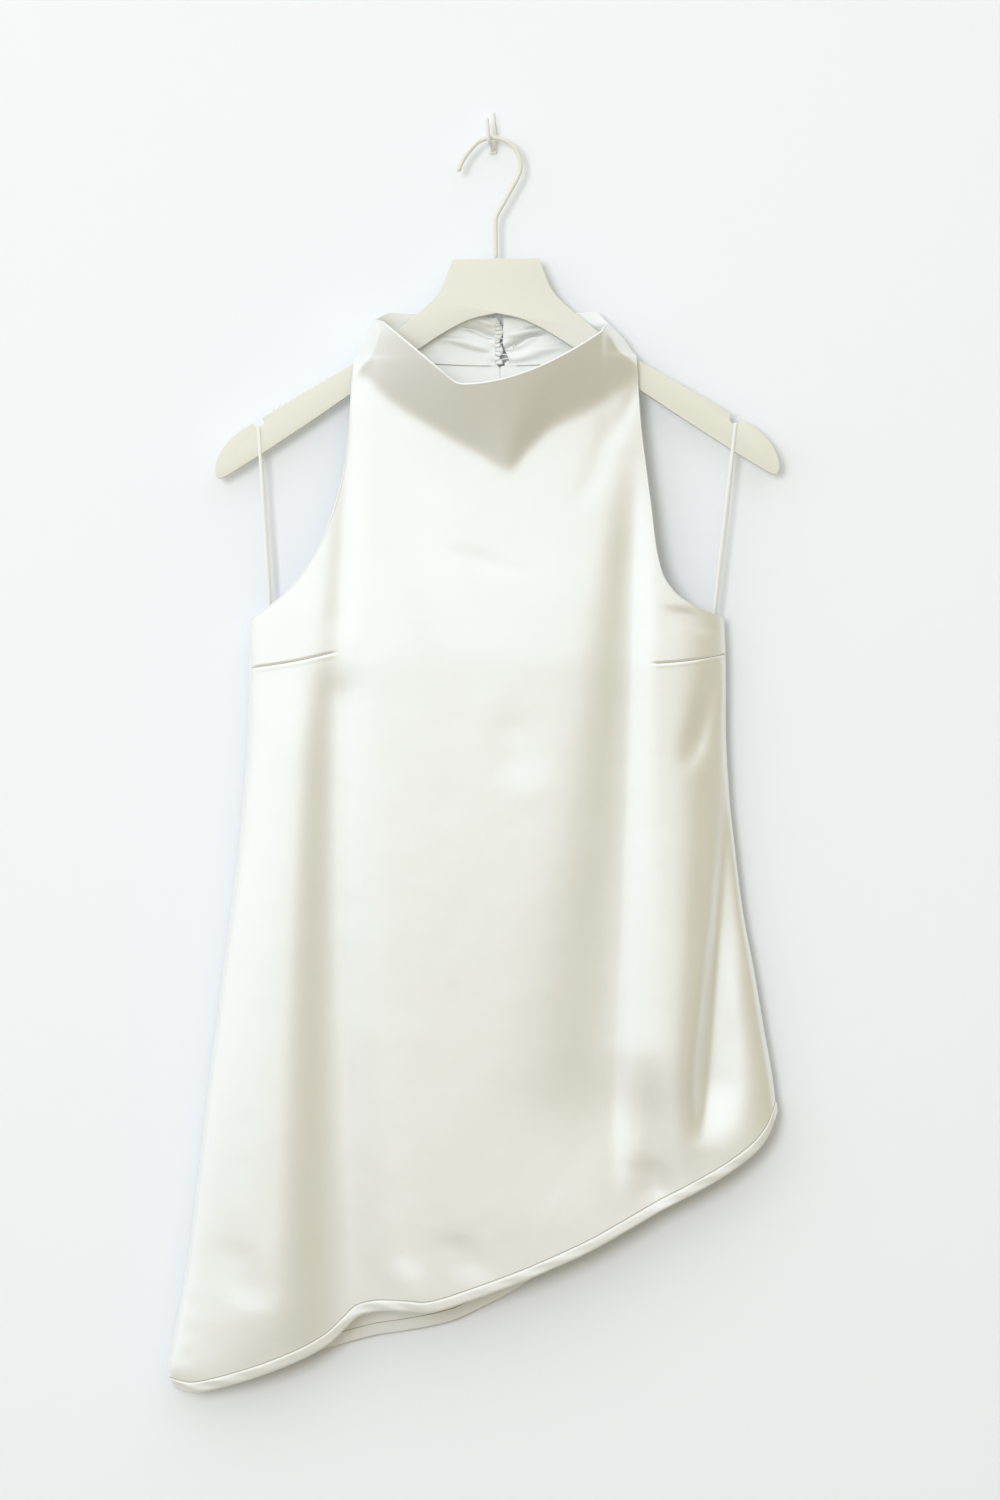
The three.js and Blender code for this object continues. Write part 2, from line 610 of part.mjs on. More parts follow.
// A corded loop from the end of the left half round the base of its button
function buttonLoop(drop) {
  const y = backY(button.x, drop) + gap + cordLoop.lift + cordLoop.radius;
  const reach = button.radius + cordLoop.radius + gap;
  const rootX = band.meetX - band.meetGap - cordLoop.root;
  const points = [[rootX, y, 1.6 - drop], [band.meetX, y, reach * 0.8 - drop]];
  for (let degrees = 90; degrees >= -90; degrees -= 30) {
    const angle = THREE.MathUtils.degToRad(degrees);
    points.push([button.x + reach * Math.cos(angle), y, reach * Math.sin(angle) - drop]);
  }
  points.push([band.meetX, y, -reach * 0.8 - drop], [rootX, y, -1.6 - drop]);
  return wireAlong(points, cordLoop.radius, 6, 20);
}

const finishes = {
  satin: new THREE.MeshStandardMaterial({ color: 0xefeee2, roughness: 0.35, metalness: 0 }),
  trim: new THREE.MeshStandardMaterial({ color: 0xf1efe4, roughness: 0.4, metalness: 0 }),
  board: new THREE.MeshStandardMaterial({ color: 0xdedac8, roughness: 0.7, metalness: 0 }),
  wire: new THREE.MeshStandardMaterial({ color: 0xdcd9c9, roughness: 0.4, metalness: 0.2 }),
  wallHook: new THREE.MeshStandardMaterial({ color: 0xeeeeea, roughness: 0.45, metalness: 0.1 }),
};

function addPiece(group, name, geometry, finish) {
  const mesh = new THREE.Mesh(geometry, finish);
  mesh.name = name;
  group.add(mesh);
}

const garment = new THREE.Group();
const frontPoints = frontGrid(48);
addPiece(garment, 'front_panel', clothWall(frontPoints), finishes.satin);
addPiece(garment, 'front_hem', hemStrip(frontPoints), finishes.trim);
addPiece(garment, 'back_panel', backPanel(), finishes.satin);
addPiece(garment, 'back_hem', hemStrip(backGrid(30)), finishes.trim);
for (const side of ['left', 'right']) {
  addPiece(garment, `neckband_${side}`, clothWall(bandGrid(side, 12, 3)), finishes.satin);
  addPiece(garment, `hanger_loop_${side}`, hangerLoop(side), finishes.trim);
}
for (const [i, drop] of button.drops.entries()) {
  addPiece(garment, `button_${i + 1}`, coveredButton(drop), finishes.trim);
  addPiece(garment, `button_loop_${i + 1}`, buttonLoop(drop), finishes.trim);
}

const hanger = new THREE.Group();
addPiece(hanger, 'hanger_board', hangerBoard(), finishes.board);
addPiece(hanger, 'hanger_hook', hangerHook(), finishes.wire);
hanger.rotation.y = board.tilt;

const halterTop = new THREE.Group();
halterTop.add(garment, hanger);
addPiece(halterTop, 'wall_hook', wallHook(), finishes.wallHook);

export default halterTop;
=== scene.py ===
"""A halter neck top in ivory satin on a flat hanger and a small wall hook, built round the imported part.

Shapes are worked out in millimetres, in the part's own frame, and put into the meshes in metres. X runs to
the viewer's right, Y into the wall and Z up from the hang point. Heights are drops, the distance below the
hang point.
"""

import math

import bmesh
import bpy
import numpy as np
from bpy.props import FloatProperty, FloatVectorProperty, PointerProperty
from mathutils import Matrix, Vector


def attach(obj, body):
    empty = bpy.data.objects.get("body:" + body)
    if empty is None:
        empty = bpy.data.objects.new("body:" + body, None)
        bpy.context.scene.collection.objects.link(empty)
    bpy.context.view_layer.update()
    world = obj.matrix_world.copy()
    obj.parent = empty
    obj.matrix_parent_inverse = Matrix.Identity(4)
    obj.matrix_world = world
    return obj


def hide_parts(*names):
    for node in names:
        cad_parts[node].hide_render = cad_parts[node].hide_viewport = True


bl_info = {
    "name": "Halter Neck Top",
    "version": (1, 0, 0),
    "blender": (4, 5, 0),
    "location": "3D View > Sidebar > Halter Top",
    "description": "Satin halter neck top on a hanger, built round the packed part",
    "category": "Add Mesh",
}

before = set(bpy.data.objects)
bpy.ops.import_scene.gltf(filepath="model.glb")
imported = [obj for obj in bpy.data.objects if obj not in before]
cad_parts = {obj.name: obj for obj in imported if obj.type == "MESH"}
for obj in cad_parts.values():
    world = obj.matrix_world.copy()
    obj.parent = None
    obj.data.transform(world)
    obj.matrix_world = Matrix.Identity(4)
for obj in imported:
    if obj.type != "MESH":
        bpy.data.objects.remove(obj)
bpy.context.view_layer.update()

MM = 0.001
# The side seams' plane and how far each panel's edge stands off it
SEAM_Y = 1.15
SEAM_HALF = 0.05
# Distance over which a surface's slope is taken
SLOPE_STEP = 0.4
PHOTO_CENTRE = (7.9, -483.7)
PHOTO_HEIGHT = 1189.5
WALL_Y = 20.0

# Corners of the front on its left and right edge, as drops
NECK = (142.0, 146.0)
SHOULDER = (171.5, 170.0)
UNDERARM = (380.5, 379.0)
CORNER = (989.0, 771.0)

# Side outlines, with the line that the cloth would have across each armhole: drop, x
LEFT_SIDE = (
    (142, -92), (156, -100), (171.5, -107), (177, -113), (186, -120), (199, -129.5), (230, -142),
    (280, -159), (330, -177), (380.5, -190.3), (421, -190.5), (470, -192), (545, -197.5), (610, -205),
    (690, -215.5), (762, -224.5), (833, -232.5), (897, -241), (948, -250.5), (976, -255.5), (989, -252),
)
RIGHT_SIDE = (
    (146, 95), (158, 106.5), (170, 115.2), (174.2, 122.4), (184, 130), (199, 138), (230, 148),
    (280, 161), (330, 175), (379, 185.5), (421, 187), (460, 187), (516, 189.5), (564, 194.5), (611, 200.5),
    (659, 209.5), (706, 217.5), (746, 224.5), (771, 227.5), (900, 262), (1010, 292),
)
# Armhole edges of the front: drop, x
LEFT_ARMHOLE = (
    (171.5, -107), (200, -109.5), (231, -111), (262, -115), (294, -123), (322, -134),
    (348, -150), (365.5, -168), (376, -182.5), (380.5, -190.3),
)
RIGHT_ARMHOLE = (
    (170, 115.2), (200, 117), (228, 119), (257, 122.5), (288, 126.5), (322, 130.5),
    (344, 135.5), (360, 146), (370, 160.5), (376, 175), (379, 185.5),
)
BACK_ARMHOLE_INSET = 3.5

# Depth of the front before the side seams at its middle, and of the back behind them: drop, depth
FRONT_DEPTHS = (
    (140, 10), (193, 17), (260, 20), (320, 24), (380, 29), (421, 31), (550, 31), (700, 29.5), (850, 28),
    (1000, 26),
)
BACK_DEPTHS = ((135, 9.4), (172, 11.2), (380, 11.4), (600, 11.8), (1000, 13))
LEAST_DEPTH_SHARE = 0.28
FLOOR_SHARPNESS = 6
SEAM_FADE_POWER = 8

# Fall of each hem below the straight line between its corners: x, fall
FRONT_HEM = (
    (-252, 0), (-231, 12), (-202, 17.5), (-175, 20.5), (-144, 22), (-128.5, 20.5), (-114, 14), (-103.5, 9),
    (-90, 11), (-66, 21), (-45, 31), (-24, 34.5), (42, 39.5), (70, 39.7), (106, 37), (143, 33), (178, 30),
    (206, 24), (220, 14.5), (227.5, 0),
)
BACK_HEM = (
    (-252, 0), (-231, 10), (-203, 16), (-176, 20), (-131, 26), (-93, 33), (-66, 41), (-43, 47), (-24, 50),
    (10, 49), (32, 45.5), (60, 40), (105, 33), (165, 25), (205, 17), (220, 8), (227.5, 0),
)
HEM_HEIGHT = 8.5

# Neckline: straight down from the left to a bend, then a shallow curve up to the right
BEND_X, BEND_REACH, BEND_FALL, BEND_POWER, BEND_ROUNDING = -20.0, 121.0, 55.0, 1.8, 1.5
LEFT_SLOPE, CORNER_WIDTH = 0.84, 7.0
# The collar stands forward above a V, the edge of its fold, that runs from both shoulders to a point: x, drop
COLLAR_EDGE = (
    (-99, 190.3), (-71.4, 211.7), (-31.7, 235.5), (-7.9, 249), (12.7, 261), (29, 244.5), (47.6, 227),
    (79.3, 211.7), (112.6, 191.9),
)
# How far its rim stands forward at the middle, how much its slope eases from the V up to the rim, how softly
# it starts, its least height, how widely the point of the V spreads out above it, how round its rim's bend
# is, the drop whose width it takes, and over what share of the width it rises from the side seams
COLLAR_FORWARD, COLLAR_EASING, COLLAR_SOFTNESS, COLLAR_LEAST_HEIGHT = 33.0, 0.7, 3.0, 12.0
COLLAR_SPREAD, COLLAR_ROUNDING, COLLAR_WIDTH_DROP, COLLAR_EDGE_SHARE = 0.6, 8.0, 200.0, 0.13

# Main folds: top x, top drop, low x, low drop, bow, left width at both ends, right width, stand, fade
FRONT_FOLDS = (
    (-110, 205, -118, 430, 0, 7, 16, 6, 9, -3, -6, 0.25),
    (-117, 385, -101, 1010, -10, 16, 46, 13, 28, -8, -14.5, 0.1),
    (-160, 400, -178, 1010, 4, 26, 40, 24, 40, 5, 8, 0.15),
    (114, 230, 92, 860, 4, 9, 58, 9, 15, -5, -12, 0.2),
    (172, 300, 136, 850, 2, 26, 30, 14, 18, 4, 6, 0.25),
    (197, 450, 168, 800, 0, 6, 9, 11, 24, -11, -17, 0.16),
    (185, 402, 157, 505, 0, 8, 10, 7, 9, -5, -6, 0.3),
    (-98, 205, 34, 520, -16, 20, 30, 20, 34, -1.6, -2.4, 0.35),
)
BACK_FOLDS = (
    (-110, 400, -140, 1000, 0, 22, 30, 22, 30, -3, -5, 0.2),
    (-20, 380, -40, 1000, 8, 30, 40, 30, 40, -2, -5, 0.25),
    (110, 400, 130, 900, -6, 22, 34, 22, 34, -3, -5, 0.2),
)

# Finer creases that only the satin shows, in the same columns
FRONT_CREASES = (
    (-92, 195, -30, 300, -8, 9, 12, 9, 12, -1.0, -0.8, 0.3),
    (96, 205, 66, 300, 6, 8, 12, 8, 12, -1.0, -0.8, 0.3),
    (120, 190, 92, 250, 0, 5, 9, 5, 9, -1.2, -0.6, 0.35),
    (196, 545, 208, 640, 0, 5, 8, 5, 8, -2.2, -1.4, 0.3),
    (-30, 320, 20, 350, 0, 16, 20, 16, 20, -0.8, -1.0, 0.4),
    (12, 440, 26, 520, 0, 16, 22, 16, 22, -1.2, -1.6, 0.4),
    (-205, 860, -185, 930, 0, 14, 18, 14, 18, -1.2, -1.6, 0.4),
    (-70, 880, -50, 935, 0, 12, 16, 12, 16, 1.4, 1.6, 0.4),
    (-30, 860, -8, 905, 0, 14, 16, 14, 16, -1.2, -1.0, 0.4),
    (118, 800, 136, 845, 0, 14, 18, 14, 18, -1.4, -1.8, 0.4),
    (176, 600, 196, 720, 4, 6, 10, 6, 10, 1.6, 2.4, 0.35),
    (122, 715, 134, 900, 0, 34, 42, 14, 16, -4.5, -8, 0.35),
    (146, 368, 184, 396, -3, 12, 12, 12, 12, -2.4, -2.6, 0.35),
    (-246, 914, -230, 930, 0, 4, 5, 4, 5, -1.8, -1.2, 0.4),
    (-250, 936, -232, 950, 0, 4, 5, 4, 5, -1.8, -1.2, 0.4),
    (-252, 956, -234, 968, 0, 4, 5, 4, 5, -1.6, -1.2, 0.4),
)
BACK_CREASES = (
    (60, 420, 40, 760, -6, 18, 26, 18, 26, 1.6, 2.0, 0.3),
    (-80, 500, -92, 900, 6, 16, 24, 16, 24, 1.8, 2.4, 0.3),
    (-160, 420, -190, 900, 0, 12, 18, 12, 18, -1.4, -2.2, 0.3),
    (160, 430, 182, 780, 0, 12, 16, 12, 16, -1.4, -2.0, 0.3),
)

# Creases of the back neckband, which pull towards its buttons
BAND_CREASES = (
    (38, 151, 11, 168, 0, 7, 5, 9, 8, 3.0, 2.6, 0.3),
    (50, 146, 10, 156, 0, 12, 8, 12, 8, -1.4, -1.0, 0.3),
    (52, 160, 14, 176, 0, 14, 8, 14, 8, -1.2, -1.0, 0.3),
    (-24, 145, 5, 159, 3, 8, 5, 8, 5, 1.8, 1.8, 0.3),
    (-36, 154, 4, 168, 0, 12, 6, 12, 6, -1.4, -0.8, 0.3),
    (-14, 138, 5, 148, 0, 9, 5, 9, 5, -1.2, -1.0, 0.3),
)

# Bust darts: seam end x and drop, tip x and drop
DARTS = ((-190.0, 418.5, -121.5, 406.5), (187.0, 407.5, 128.5, 415.5))
DART_WIDTH, DART_DEPTH, DART_BOW = 0.9, 0.9, 1.6
# Dark colour of the stitch threads: painted shade of the ditches and edges that they follow
STITCH_SHADE_COLOUR = (0.47, 0.43, 0.335)
# Radius of the turned edges of the armholes, the slit and the neckband
ARMHOLE_ROLL, SLIT_ROLL, BAND_ROLL = 0.65, 0.3, 0.85

# Back neckband, the slit below it, buttons and corded loops
BAND_TOP, BAND_DIP, BAND_RISE, BAND_LOW, BAND_PULL = 136.5, 4.0, 0.22, 178.0, 5.5
BAND_THICKNESS, MEET_X, MEET_GAP = 1.1, 8.2, 4.4
SLIT_X, SLIT_HALF, SLIT_DEPTH = 8.0, 0.35, 125.0
BUTTON_X, BUTTON_RADIUS, BUTTON_HEIGHT, BUTTON_EDGE = 15.0, 4.2, 4.2, 1.4
BUTTON_DROPS = (151.5, 164.0, 177.0)
BUTTON_SIDES = 40
CORD_RADIUS, CORD_ROOT = 0.7, 6.0
TAPE_X = 3.8

# Hanger: arm, notch, wire and ribbons
BOARD_X, BOARD_TOP, BOARD_THICKNESS, BOARD_TILT = 3.7, -94.6, 5.6, math.radians(-0.45)
ARM_X, ARM_Z, ARM_SLOPE = 112.6, -176.0, math.radians(30.3)
NOTCH_DISTANCE, NOTCH_BELOW, NOTCH_RADIUS = 89.5, 1.6, 4.5
WIRE_RADIUS, ARC_X, ARC_Z, ARC_RADIUS = 1.8, 2.2, -20.0, 21.8
RIBBON_WIDTH, RIBBON_THICKNESS = 2.6, 0.5
ANCHORS = {"left": (-173.5, 388.0), "right": (176.0, 388.0)}
PRONG = ((1.8, 19.4, -5.2), (1.4, 13, -4.4), (0.6, 5, -2.2), (0.1, 0, -2.1), (-0.8, -4.6, -0.4),
         (-1.6, -6.6, 4.5), (-2.6, -7.2, 17))
PRONG_RADIUS = 1.6
# Wall plate: its middle, thickness and corner, and its levels and half widths from its foot to its tip
PLATE_X, PLATE_THICKNESS, PLATE_ROUNDING = 2.2, 2.0, 0.4
PLATE_LEVELS, PLATE_HALVES = (-8.0, -7.4, 6.0, 25.0), (2.5, 3.1, 3.1, 0.9)

# The soft light: where it is strongest, and its colour from behind the object (0) to there (1)
SOFT_LIGHT = (-0.55, -0.52, 0.65)
SOFT_RAMP = (
    (0.0, (0.36, 0.315, 0.20)), (0.30, (0.40, 0.345, 0.20)), (0.50, (0.41, 0.35, 0.18)),
    (0.62, (0.50, 0.445, 0.29)), (0.71, (0.78, 0.765, 0.70)), (0.76, (0.93, 0.96, 0.975)),
    (0.86, (0.96, 0.99, 1.0)),
)
# The key light: its distance in metres, its turn to the left and rise, its disc and its colour
KEY_REACH, KEY_SIDE, KEY_RISE, KEY_SIZE = 4.5, math.radians(14), math.radians(7), 1.3
KEY_COLOUR = (0.955, 0.98, 1.0)
FLOOR_LEVEL = -1.45
SENSOR = 36


class SatinSettings(bpy.types.PropertyGroup):
    thickness: FloatProperty(
        name="Thickness", description="Thickness of the satin", default=0.0006, unit="LENGTH")
    edge: FloatProperty(
        name="Edge", description="Radius of the turned edge of the neckline", default=0.0011, unit="LENGTH")
    hem_height: FloatProperty(
        name="Hem", description="Height of the stitched hem", default=0.0085, unit="LENGTH")
    colour: FloatVectorProperty(
        name="Colour", description="Colour of the satin", subtype="COLOR", size=3,
        default=(0.89, 0.908, 0.905))
    warm: FloatVectorProperty(
        name="Warm colour", description="Colour of the satin where it is a little deeper", subtype="COLOR",
        size=3, default=(0.88, 0.893, 0.875))


class HangerSettings(bpy.types.PropertyGroup):
    edge: FloatProperty(
        name="Edge", description="Rounding of the board's edges", default=0.0005, unit="LENGTH")
    colour: FloatVectorProperty(
        name="Colour", description="Colour of the board and the wire", subtype="COLOR", size=3,
        default=(0.735, 0.728, 0.65))
    hook_colour: FloatVectorProperty(
        name="Wall hook", description="Colour of the wall hook", subtype="COLOR", size=3,
        default=(0.78, 0.78, 0.76))


class StageSettings(bpy.types.PropertyGroup):
    distance: FloatProperty(
        name="Camera distance", description="Distance of the camera from the hanger", default=3.0,
        unit="LENGTH")
    key: FloatProperty(
        name="Key light", description="Power of the main light", default=72.0, unit="POWER")
    fill: FloatProperty(
        name="Fill light", description="Strength of the soft light from the front", default=1.15)
    wall: FloatVectorProperty(
        name="Wall", description="Colour of the wall", subtype="COLOR", size=3,
        default=(0.835, 0.86, 0.905))
    floor: FloatVectorProperty(
        name="Floor", description="Colour of the floor, which the satin's lower folds mirror",
        subtype="COLOR", size=3, default=(0.37, 0.32, 0.225))


def curve_through(rows):
    """Smooth curve with no overshoot: cubics whose slope at a row is the harmonic mean of both steps."""
    position, value = np.array(rows, float).T
    step = np.diff(value) / np.diff(position)
    product = step[:-1] * step[1:]
    total = np.where(product > 0, step[:-1] + step[1:], 1)
    slope = np.concatenate([step[:1], np.where(product > 0, 2 * product / total, 0), step[-1:]])

    def curve(place):
        p = np.clip(place, position[0], position[-1])
        i = np.clip(np.searchsorted(position, p, side="right") - 1, 0, len(step) - 1)
        span = position[i + 1] - position[i]
        t = (p - position[i]) / span
        rise = t * t * (3 - 2 * t)
        bend = t * (1 - t) * span * ((1 - t) * slope[i] - t * slope[i + 1])
        return value[i] + (value[i + 1] - value[i]) * rise + bend

    return curve


side_x = (curve_through(LEFT_SIDE), curve_through(RIGHT_SIDE))
armhole_x = (curve_through(LEFT_ARMHOLE), curve_through(RIGHT_ARMHOLE))
front_depth = curve_through(FRONT_DEPTHS)
collar_fold = curve_through(COLLAR_EDGE)
back_depth = curve_through(BACK_DEPTHS)
front_hem_fall = curve_through(FRONT_HEM)
back_hem_fall = curve_through(BACK_HEM)


def mix(a, b, t):
    return a + (b - a) * t


def smooth(value, low, high):
    """Smooth step: 0 at low, 1 at high."""
    t = np.clip((value - low) / (high - low), 0, 1)
    return t * t * (3 - 2 * t)


def soft_rise(t):
    """log(1 + exp(t)): rises smoothly from nothing to t."""
    return np.logaddexp(0, t)


def across(x, drop):
    """Place across the garment: -1 on the left side line and +1 on the right."""
    left, right = side_x[0](drop), side_x[1](drop)
    return np.clip((2 * x - left - right) / (right - left), -1, 1)


def fold_stand(folds, x, drop):
    """Sum over the folds of stand * exp(-((x - centre) / width)^2), faded at both ends of each."""
    total = np.zeros(np.broadcast(x, drop).shape)
    for top_x, top, low_x, low, bow, left0, left1, right0, right1, stand0, stand1, fade in folds:
        t = (drop - top) / (low - top)
        centre = mix(top_x, low_x, t) + bow * 4 * t * (1 - t)
        width = np.where(x < centre, mix(left0, left1, t), mix(right0, right1, t))
        ends = smooth(t, 0, fade) * smooth(1 - t, 0, fade)
        bell = np.exp(-(((x - centre) / np.maximum(width, 1)) ** 2))
        total += np.where((t > 0) & (t < 1), mix(stand0, stand1, t) * ends * bell, 0)
    return total


def folded_depth(full, folds):
    """A depth with its folds added, kept clear of the seam plane by a soft floor."""
    share = np.where(full > 0.01, 1 + folds / np.maximum(full, 0.01), 1)
    above = soft_rise(FLOOR_SHARPNESS * (share - LEAST_DEPTH_SHARE)) / FLOOR_SHARPNESS
    return full * (LEAST_DEPTH_SHARE + above)


def roundness(r):
    """sqrt(1 - |r|^3): a flat middle that turns in steeply at both sides."""
    return np.sqrt(np.maximum(0, 1 - np.abs(r) ** 3))


def dart_drop(t, seam_drop, tip_drop):
    """A dart's line, bowed down a little: t runs from its tip to the side seam."""
    return mix(tip_drop, seam_drop, t) + DART_BOW * np.sin(math.pi * np.clip(t, 0, 1))


def dart_groove(x, drop):
    """A narrow groove along each bust dart, fading out at its tip."""
    total = 0
    for seam_x, seam_drop, tip_x, tip_drop in DARTS:
        t = (x - tip_x) / (seam_x - tip_x)
        beside = (drop - dart_drop(t, seam_drop, tip_drop)) / DART_WIDTH
        total = total + smooth(t, -0.02, 0.06) * (
            DART_DEPTH * np.exp(-beside ** 2) - 0.25 * DART_DEPTH * np.exp(-((beside - 2.6) / 1.6) ** 2))
    return total


def edge_around(x, drop):
    """The V's edge near x, averaged over a width that grows with the height above it."""
    reach = COLLAR_SPREAD * np.maximum(0, collar_fold(x) - drop)
    return sum((4 - abs(i)) * collar_fold(x + i * reach / 3) for i in range(-3, 4)) / 16


def collar_lean(x, drop, r):
    """The collar's stand: forward * roundness * sin(easing * share), share 0 at the V and 1 at the rim."""
    left, right = side_x[0](NECK[0]), side_x[1](NECK[1])
    level = mix(NECK[0], NECK[1], np.clip((x - left) / (right - left), 0, 1))
    edge = edge_around(x, drop)
    height = np.maximum(COLLAR_LEAST_HEIGHT, edge - level - neck_fall(x, left, right, COLLAR_ROUNDING))
    share = COLLAR_SOFTNESS * soft_rise((edge - drop) / COLLAR_SOFTNESS) / height
    rise = np.sin(COLLAR_EASING * np.minimum(share, 1.2)) / math.sin(COLLAR_EASING)
    edge_rise = smooth(1 - np.abs(r), 0, COLLAR_EDGE_SHARE)
    return COLLAR_FORWARD * roundness(across(x, COLLAR_WIDTH_DROP)) * edge_rise * rise


def front_y(x, drop):
    """The front's outer surface: depth times roundness, plus the collar's stand above its V, plus folds."""
    r = across(x, drop)
    full = front_depth(drop) * roundness(r) + collar_lean(x, drop, r)
    fade = 1 - np.abs(r) ** SEAM_FADE_POWER
    folds = fold_stand(FRONT_FOLDS, x, drop) + fold_stand(FRONT_CREASES, x, drop)
    return SEAM_Y - SEAM_HALF - folded_depth(full, folds * fade) + dart_groove(x, drop)


def back_y(x, drop):
    """The back's outer surface, with its own folds."""
    r = across(x, drop)
    fade = 1 - np.abs(r) ** SEAM_FADE_POWER
    folds = fold_stand(BACK_FOLDS, x, drop) + fold_stand(BACK_CREASES, x, drop)
    return SEAM_Y + SEAM_HALF + folded_depth(back_depth(drop) * roundness(r), folds * fade)


def surface(height, facing, x, drop):
    """Points and outward normals of y = height(x, drop); facing is -1 for the front and +1 for the back."""
    step = SLOPE_STEP
    slope_x = (height(x + step, drop) - height(x - step, drop)) / (2 * step)
    slope_down = (height(x, drop + step) - height(x, drop - step)) / (2 * step)
    normal = np.stack([-slope_x * facing, np.full(x.shape, float(facing)), slope_down * facing], -1)
    normal /= np.linalg.norm(normal, axis=-1, keepdims=True)
    return np.stack([x, height(x, drop), -drop], -1), normal


def neck_fall(x, left, right, rounding=BEND_ROUNDING):
    """Fall of the neckline below the line between its corners."""
    from_left = np.maximum(0, LEFT_SLOPE * (x - left))
    curve = BEND_FALL * (1 - np.minimum(1, np.abs(x - BEND_X) / BEND_REACH) ** BEND_POWER)
    least = from_left - rounding * soft_rise((from_left - curve) / rounding)
    return least * np.clip((right - x) / CORNER_WIDTH, 0, 1)


def band_low_drop(x):
    """Lower edge of the neckband: half a sine wave below the line between the shoulder ends."""
    left, right = side_x[0](SHOULDER[0]), side_x[1](SHOULDER[1])
    share = np.clip((x - left) / (right - left), 0, 1)
    return mix(mix(SHOULDER[0], SHOULDER[1], share), BAND_LOW, np.sin(math.pi * share))


def column_share(u):
    """Columns run from left to right, closer together at both edges."""
    return mix(u, (1 - np.cos(math.pi * u)) / 2, 0.5)


def row_levels():
    """Shares of the way down the collar, the armholes and the body, denser at the darts and the hem."""
    dart = (DARTS[0][1] - UNDERARM[0]) / (CORNER[0] - UNDERARM[0])
    hem = 1 - HEM_HEIGHT / (CORNER[0] - UNDERARM[0])
    body = np.concatenate([
        np.linspace(0, dart * 0.6, 12, endpoint=False),
        np.linspace(dart * 0.6, dart * 1.62, 70, endpoint=False),
        np.linspace(dart * 1.62, hem, 112, endpoint=False), np.linspace(hem, 1, 8)])
    armholes = (1 - ((1 + np.cos(np.linspace(0, math.pi, 72, endpoint=False))) / 2) ** 1.2)
    return np.linspace(0, 1, 20, endpoint=False), armholes, body


def front_grid(columns=144):
    """x and drop of the front on a grid: rows run from the neckline down to the hem."""
    collar, armholes, body = row_levels()
    rows = []
    for stage, shares in enumerate((collar, armholes, body)):
        start, end = ((NECK, SHOULDER), (SHOULDER, UNDERARM), (UNDERARM, CORNER))[stage]
        level = [mix(start[k], end[k], shares) for k in (0, 1)]
        edge = armhole_x if stage == 1 else side_x
        rows.append(np.stack([level[0], level[1], edge[0](level[0]), edge[1](level[1]),
                              shares if stage == 2 else np.zeros(len(shares))], -1))
    left_level, right_level, left_x, right_x, towards_hem = (c[:, None] for c in np.concatenate(rows).T)
    share = column_share(np.linspace(0, 1, columns + 1))[None, :]
    x = mix(left_x, right_x, share)
    near_neck = np.maximum(0, 1 - (left_level - NECK[0]) / (UNDERARM[0] - NECK[0])) ** 2
    hem = front_hem_fall(mix(FRONT_HEM[0][0], FRONT_HEM[-1][0], share)) * towards_hem ** 2
    fall = neck_fall(x, side_x[0](NECK[0]), side_x[1](NECK[1])) * near_neck + hem
    return x, mix(left_level, right_level, share) + fall


def arc_share(points, count):
    """Resamples a polyline of points to count points at equal distances along it."""
    steps = np.linalg.norm(np.diff(points, axis=0), axis=1)
    along = np.concatenate([[0], np.cumsum(steps)])
    wanted = np.linspace(0, along[-1], count)
    return np.stack([np.interp(wanted, along, points[:, k]) for k in range(points.shape[1])], -1)


def slit_edge(steps=160):
    """The slit: a long narrow half ellipse that hangs from the band, in x and drop."""
    angle = np.linspace(0, math.pi, steps)
    x = SLIT_X - SLIT_HALF * np.cos(angle)
    return np.stack([x, band_low_drop(x) + SLIT_DEPTH * np.sin(angle)], -1)


def back_top_edge(columns):
    """Upper edge of the back: along the band's lower edge, down round the slit and on along the band."""
    hole = slit_edge()
    left_x = np.linspace(side_x[0](SHOULDER[0]), hole[0, 0], 40, endpoint=False)
    right_x = np.linspace(hole[-1, 0], side_x[1](SHOULDER[1]), 41)[1:]
    before, after = (np.stack([x, band_low_drop(x)], -1) for x in (left_x, right_x))
    outline = np.concatenate([before, hole, after])
    weight = np.linalg.norm(np.diff(outline, axis=0), axis=1)
    inside = outline[1:, 1] > BAND_LOW + 1
    along = np.concatenate([[0], np.cumsum(np.where(inside, weight * 0.55, weight))])
    wanted = column_share(np.linspace(0, 1, columns + 1)) * along[-1]
    return np.stack([np.interp(wanted, along, outline[:, k]) for k in (0, 1)], -1)


def back_side_edge(k, rows):
    """Side edge of the back: the armhole, cut in a little, and then the side seam down to the hem."""
    sign = 1 - 2 * k
    hole = np.linspace(0, 1, 120, endpoint=False)
    level = mix(SHOULDER[k], UNDERARM[k], hole)
    above = armhole_x[k](level) + sign * BACK_ARMHOLE_INSET * np.sin(math.pi * hole)
    lower = np.linspace(UNDERARM[k], CORNER[k], 200)
    edge = np.stack([np.concatenate([above, side_x[k](lower)]), np.concatenate([level, lower])], -1)
    return arc_share(edge, rows)


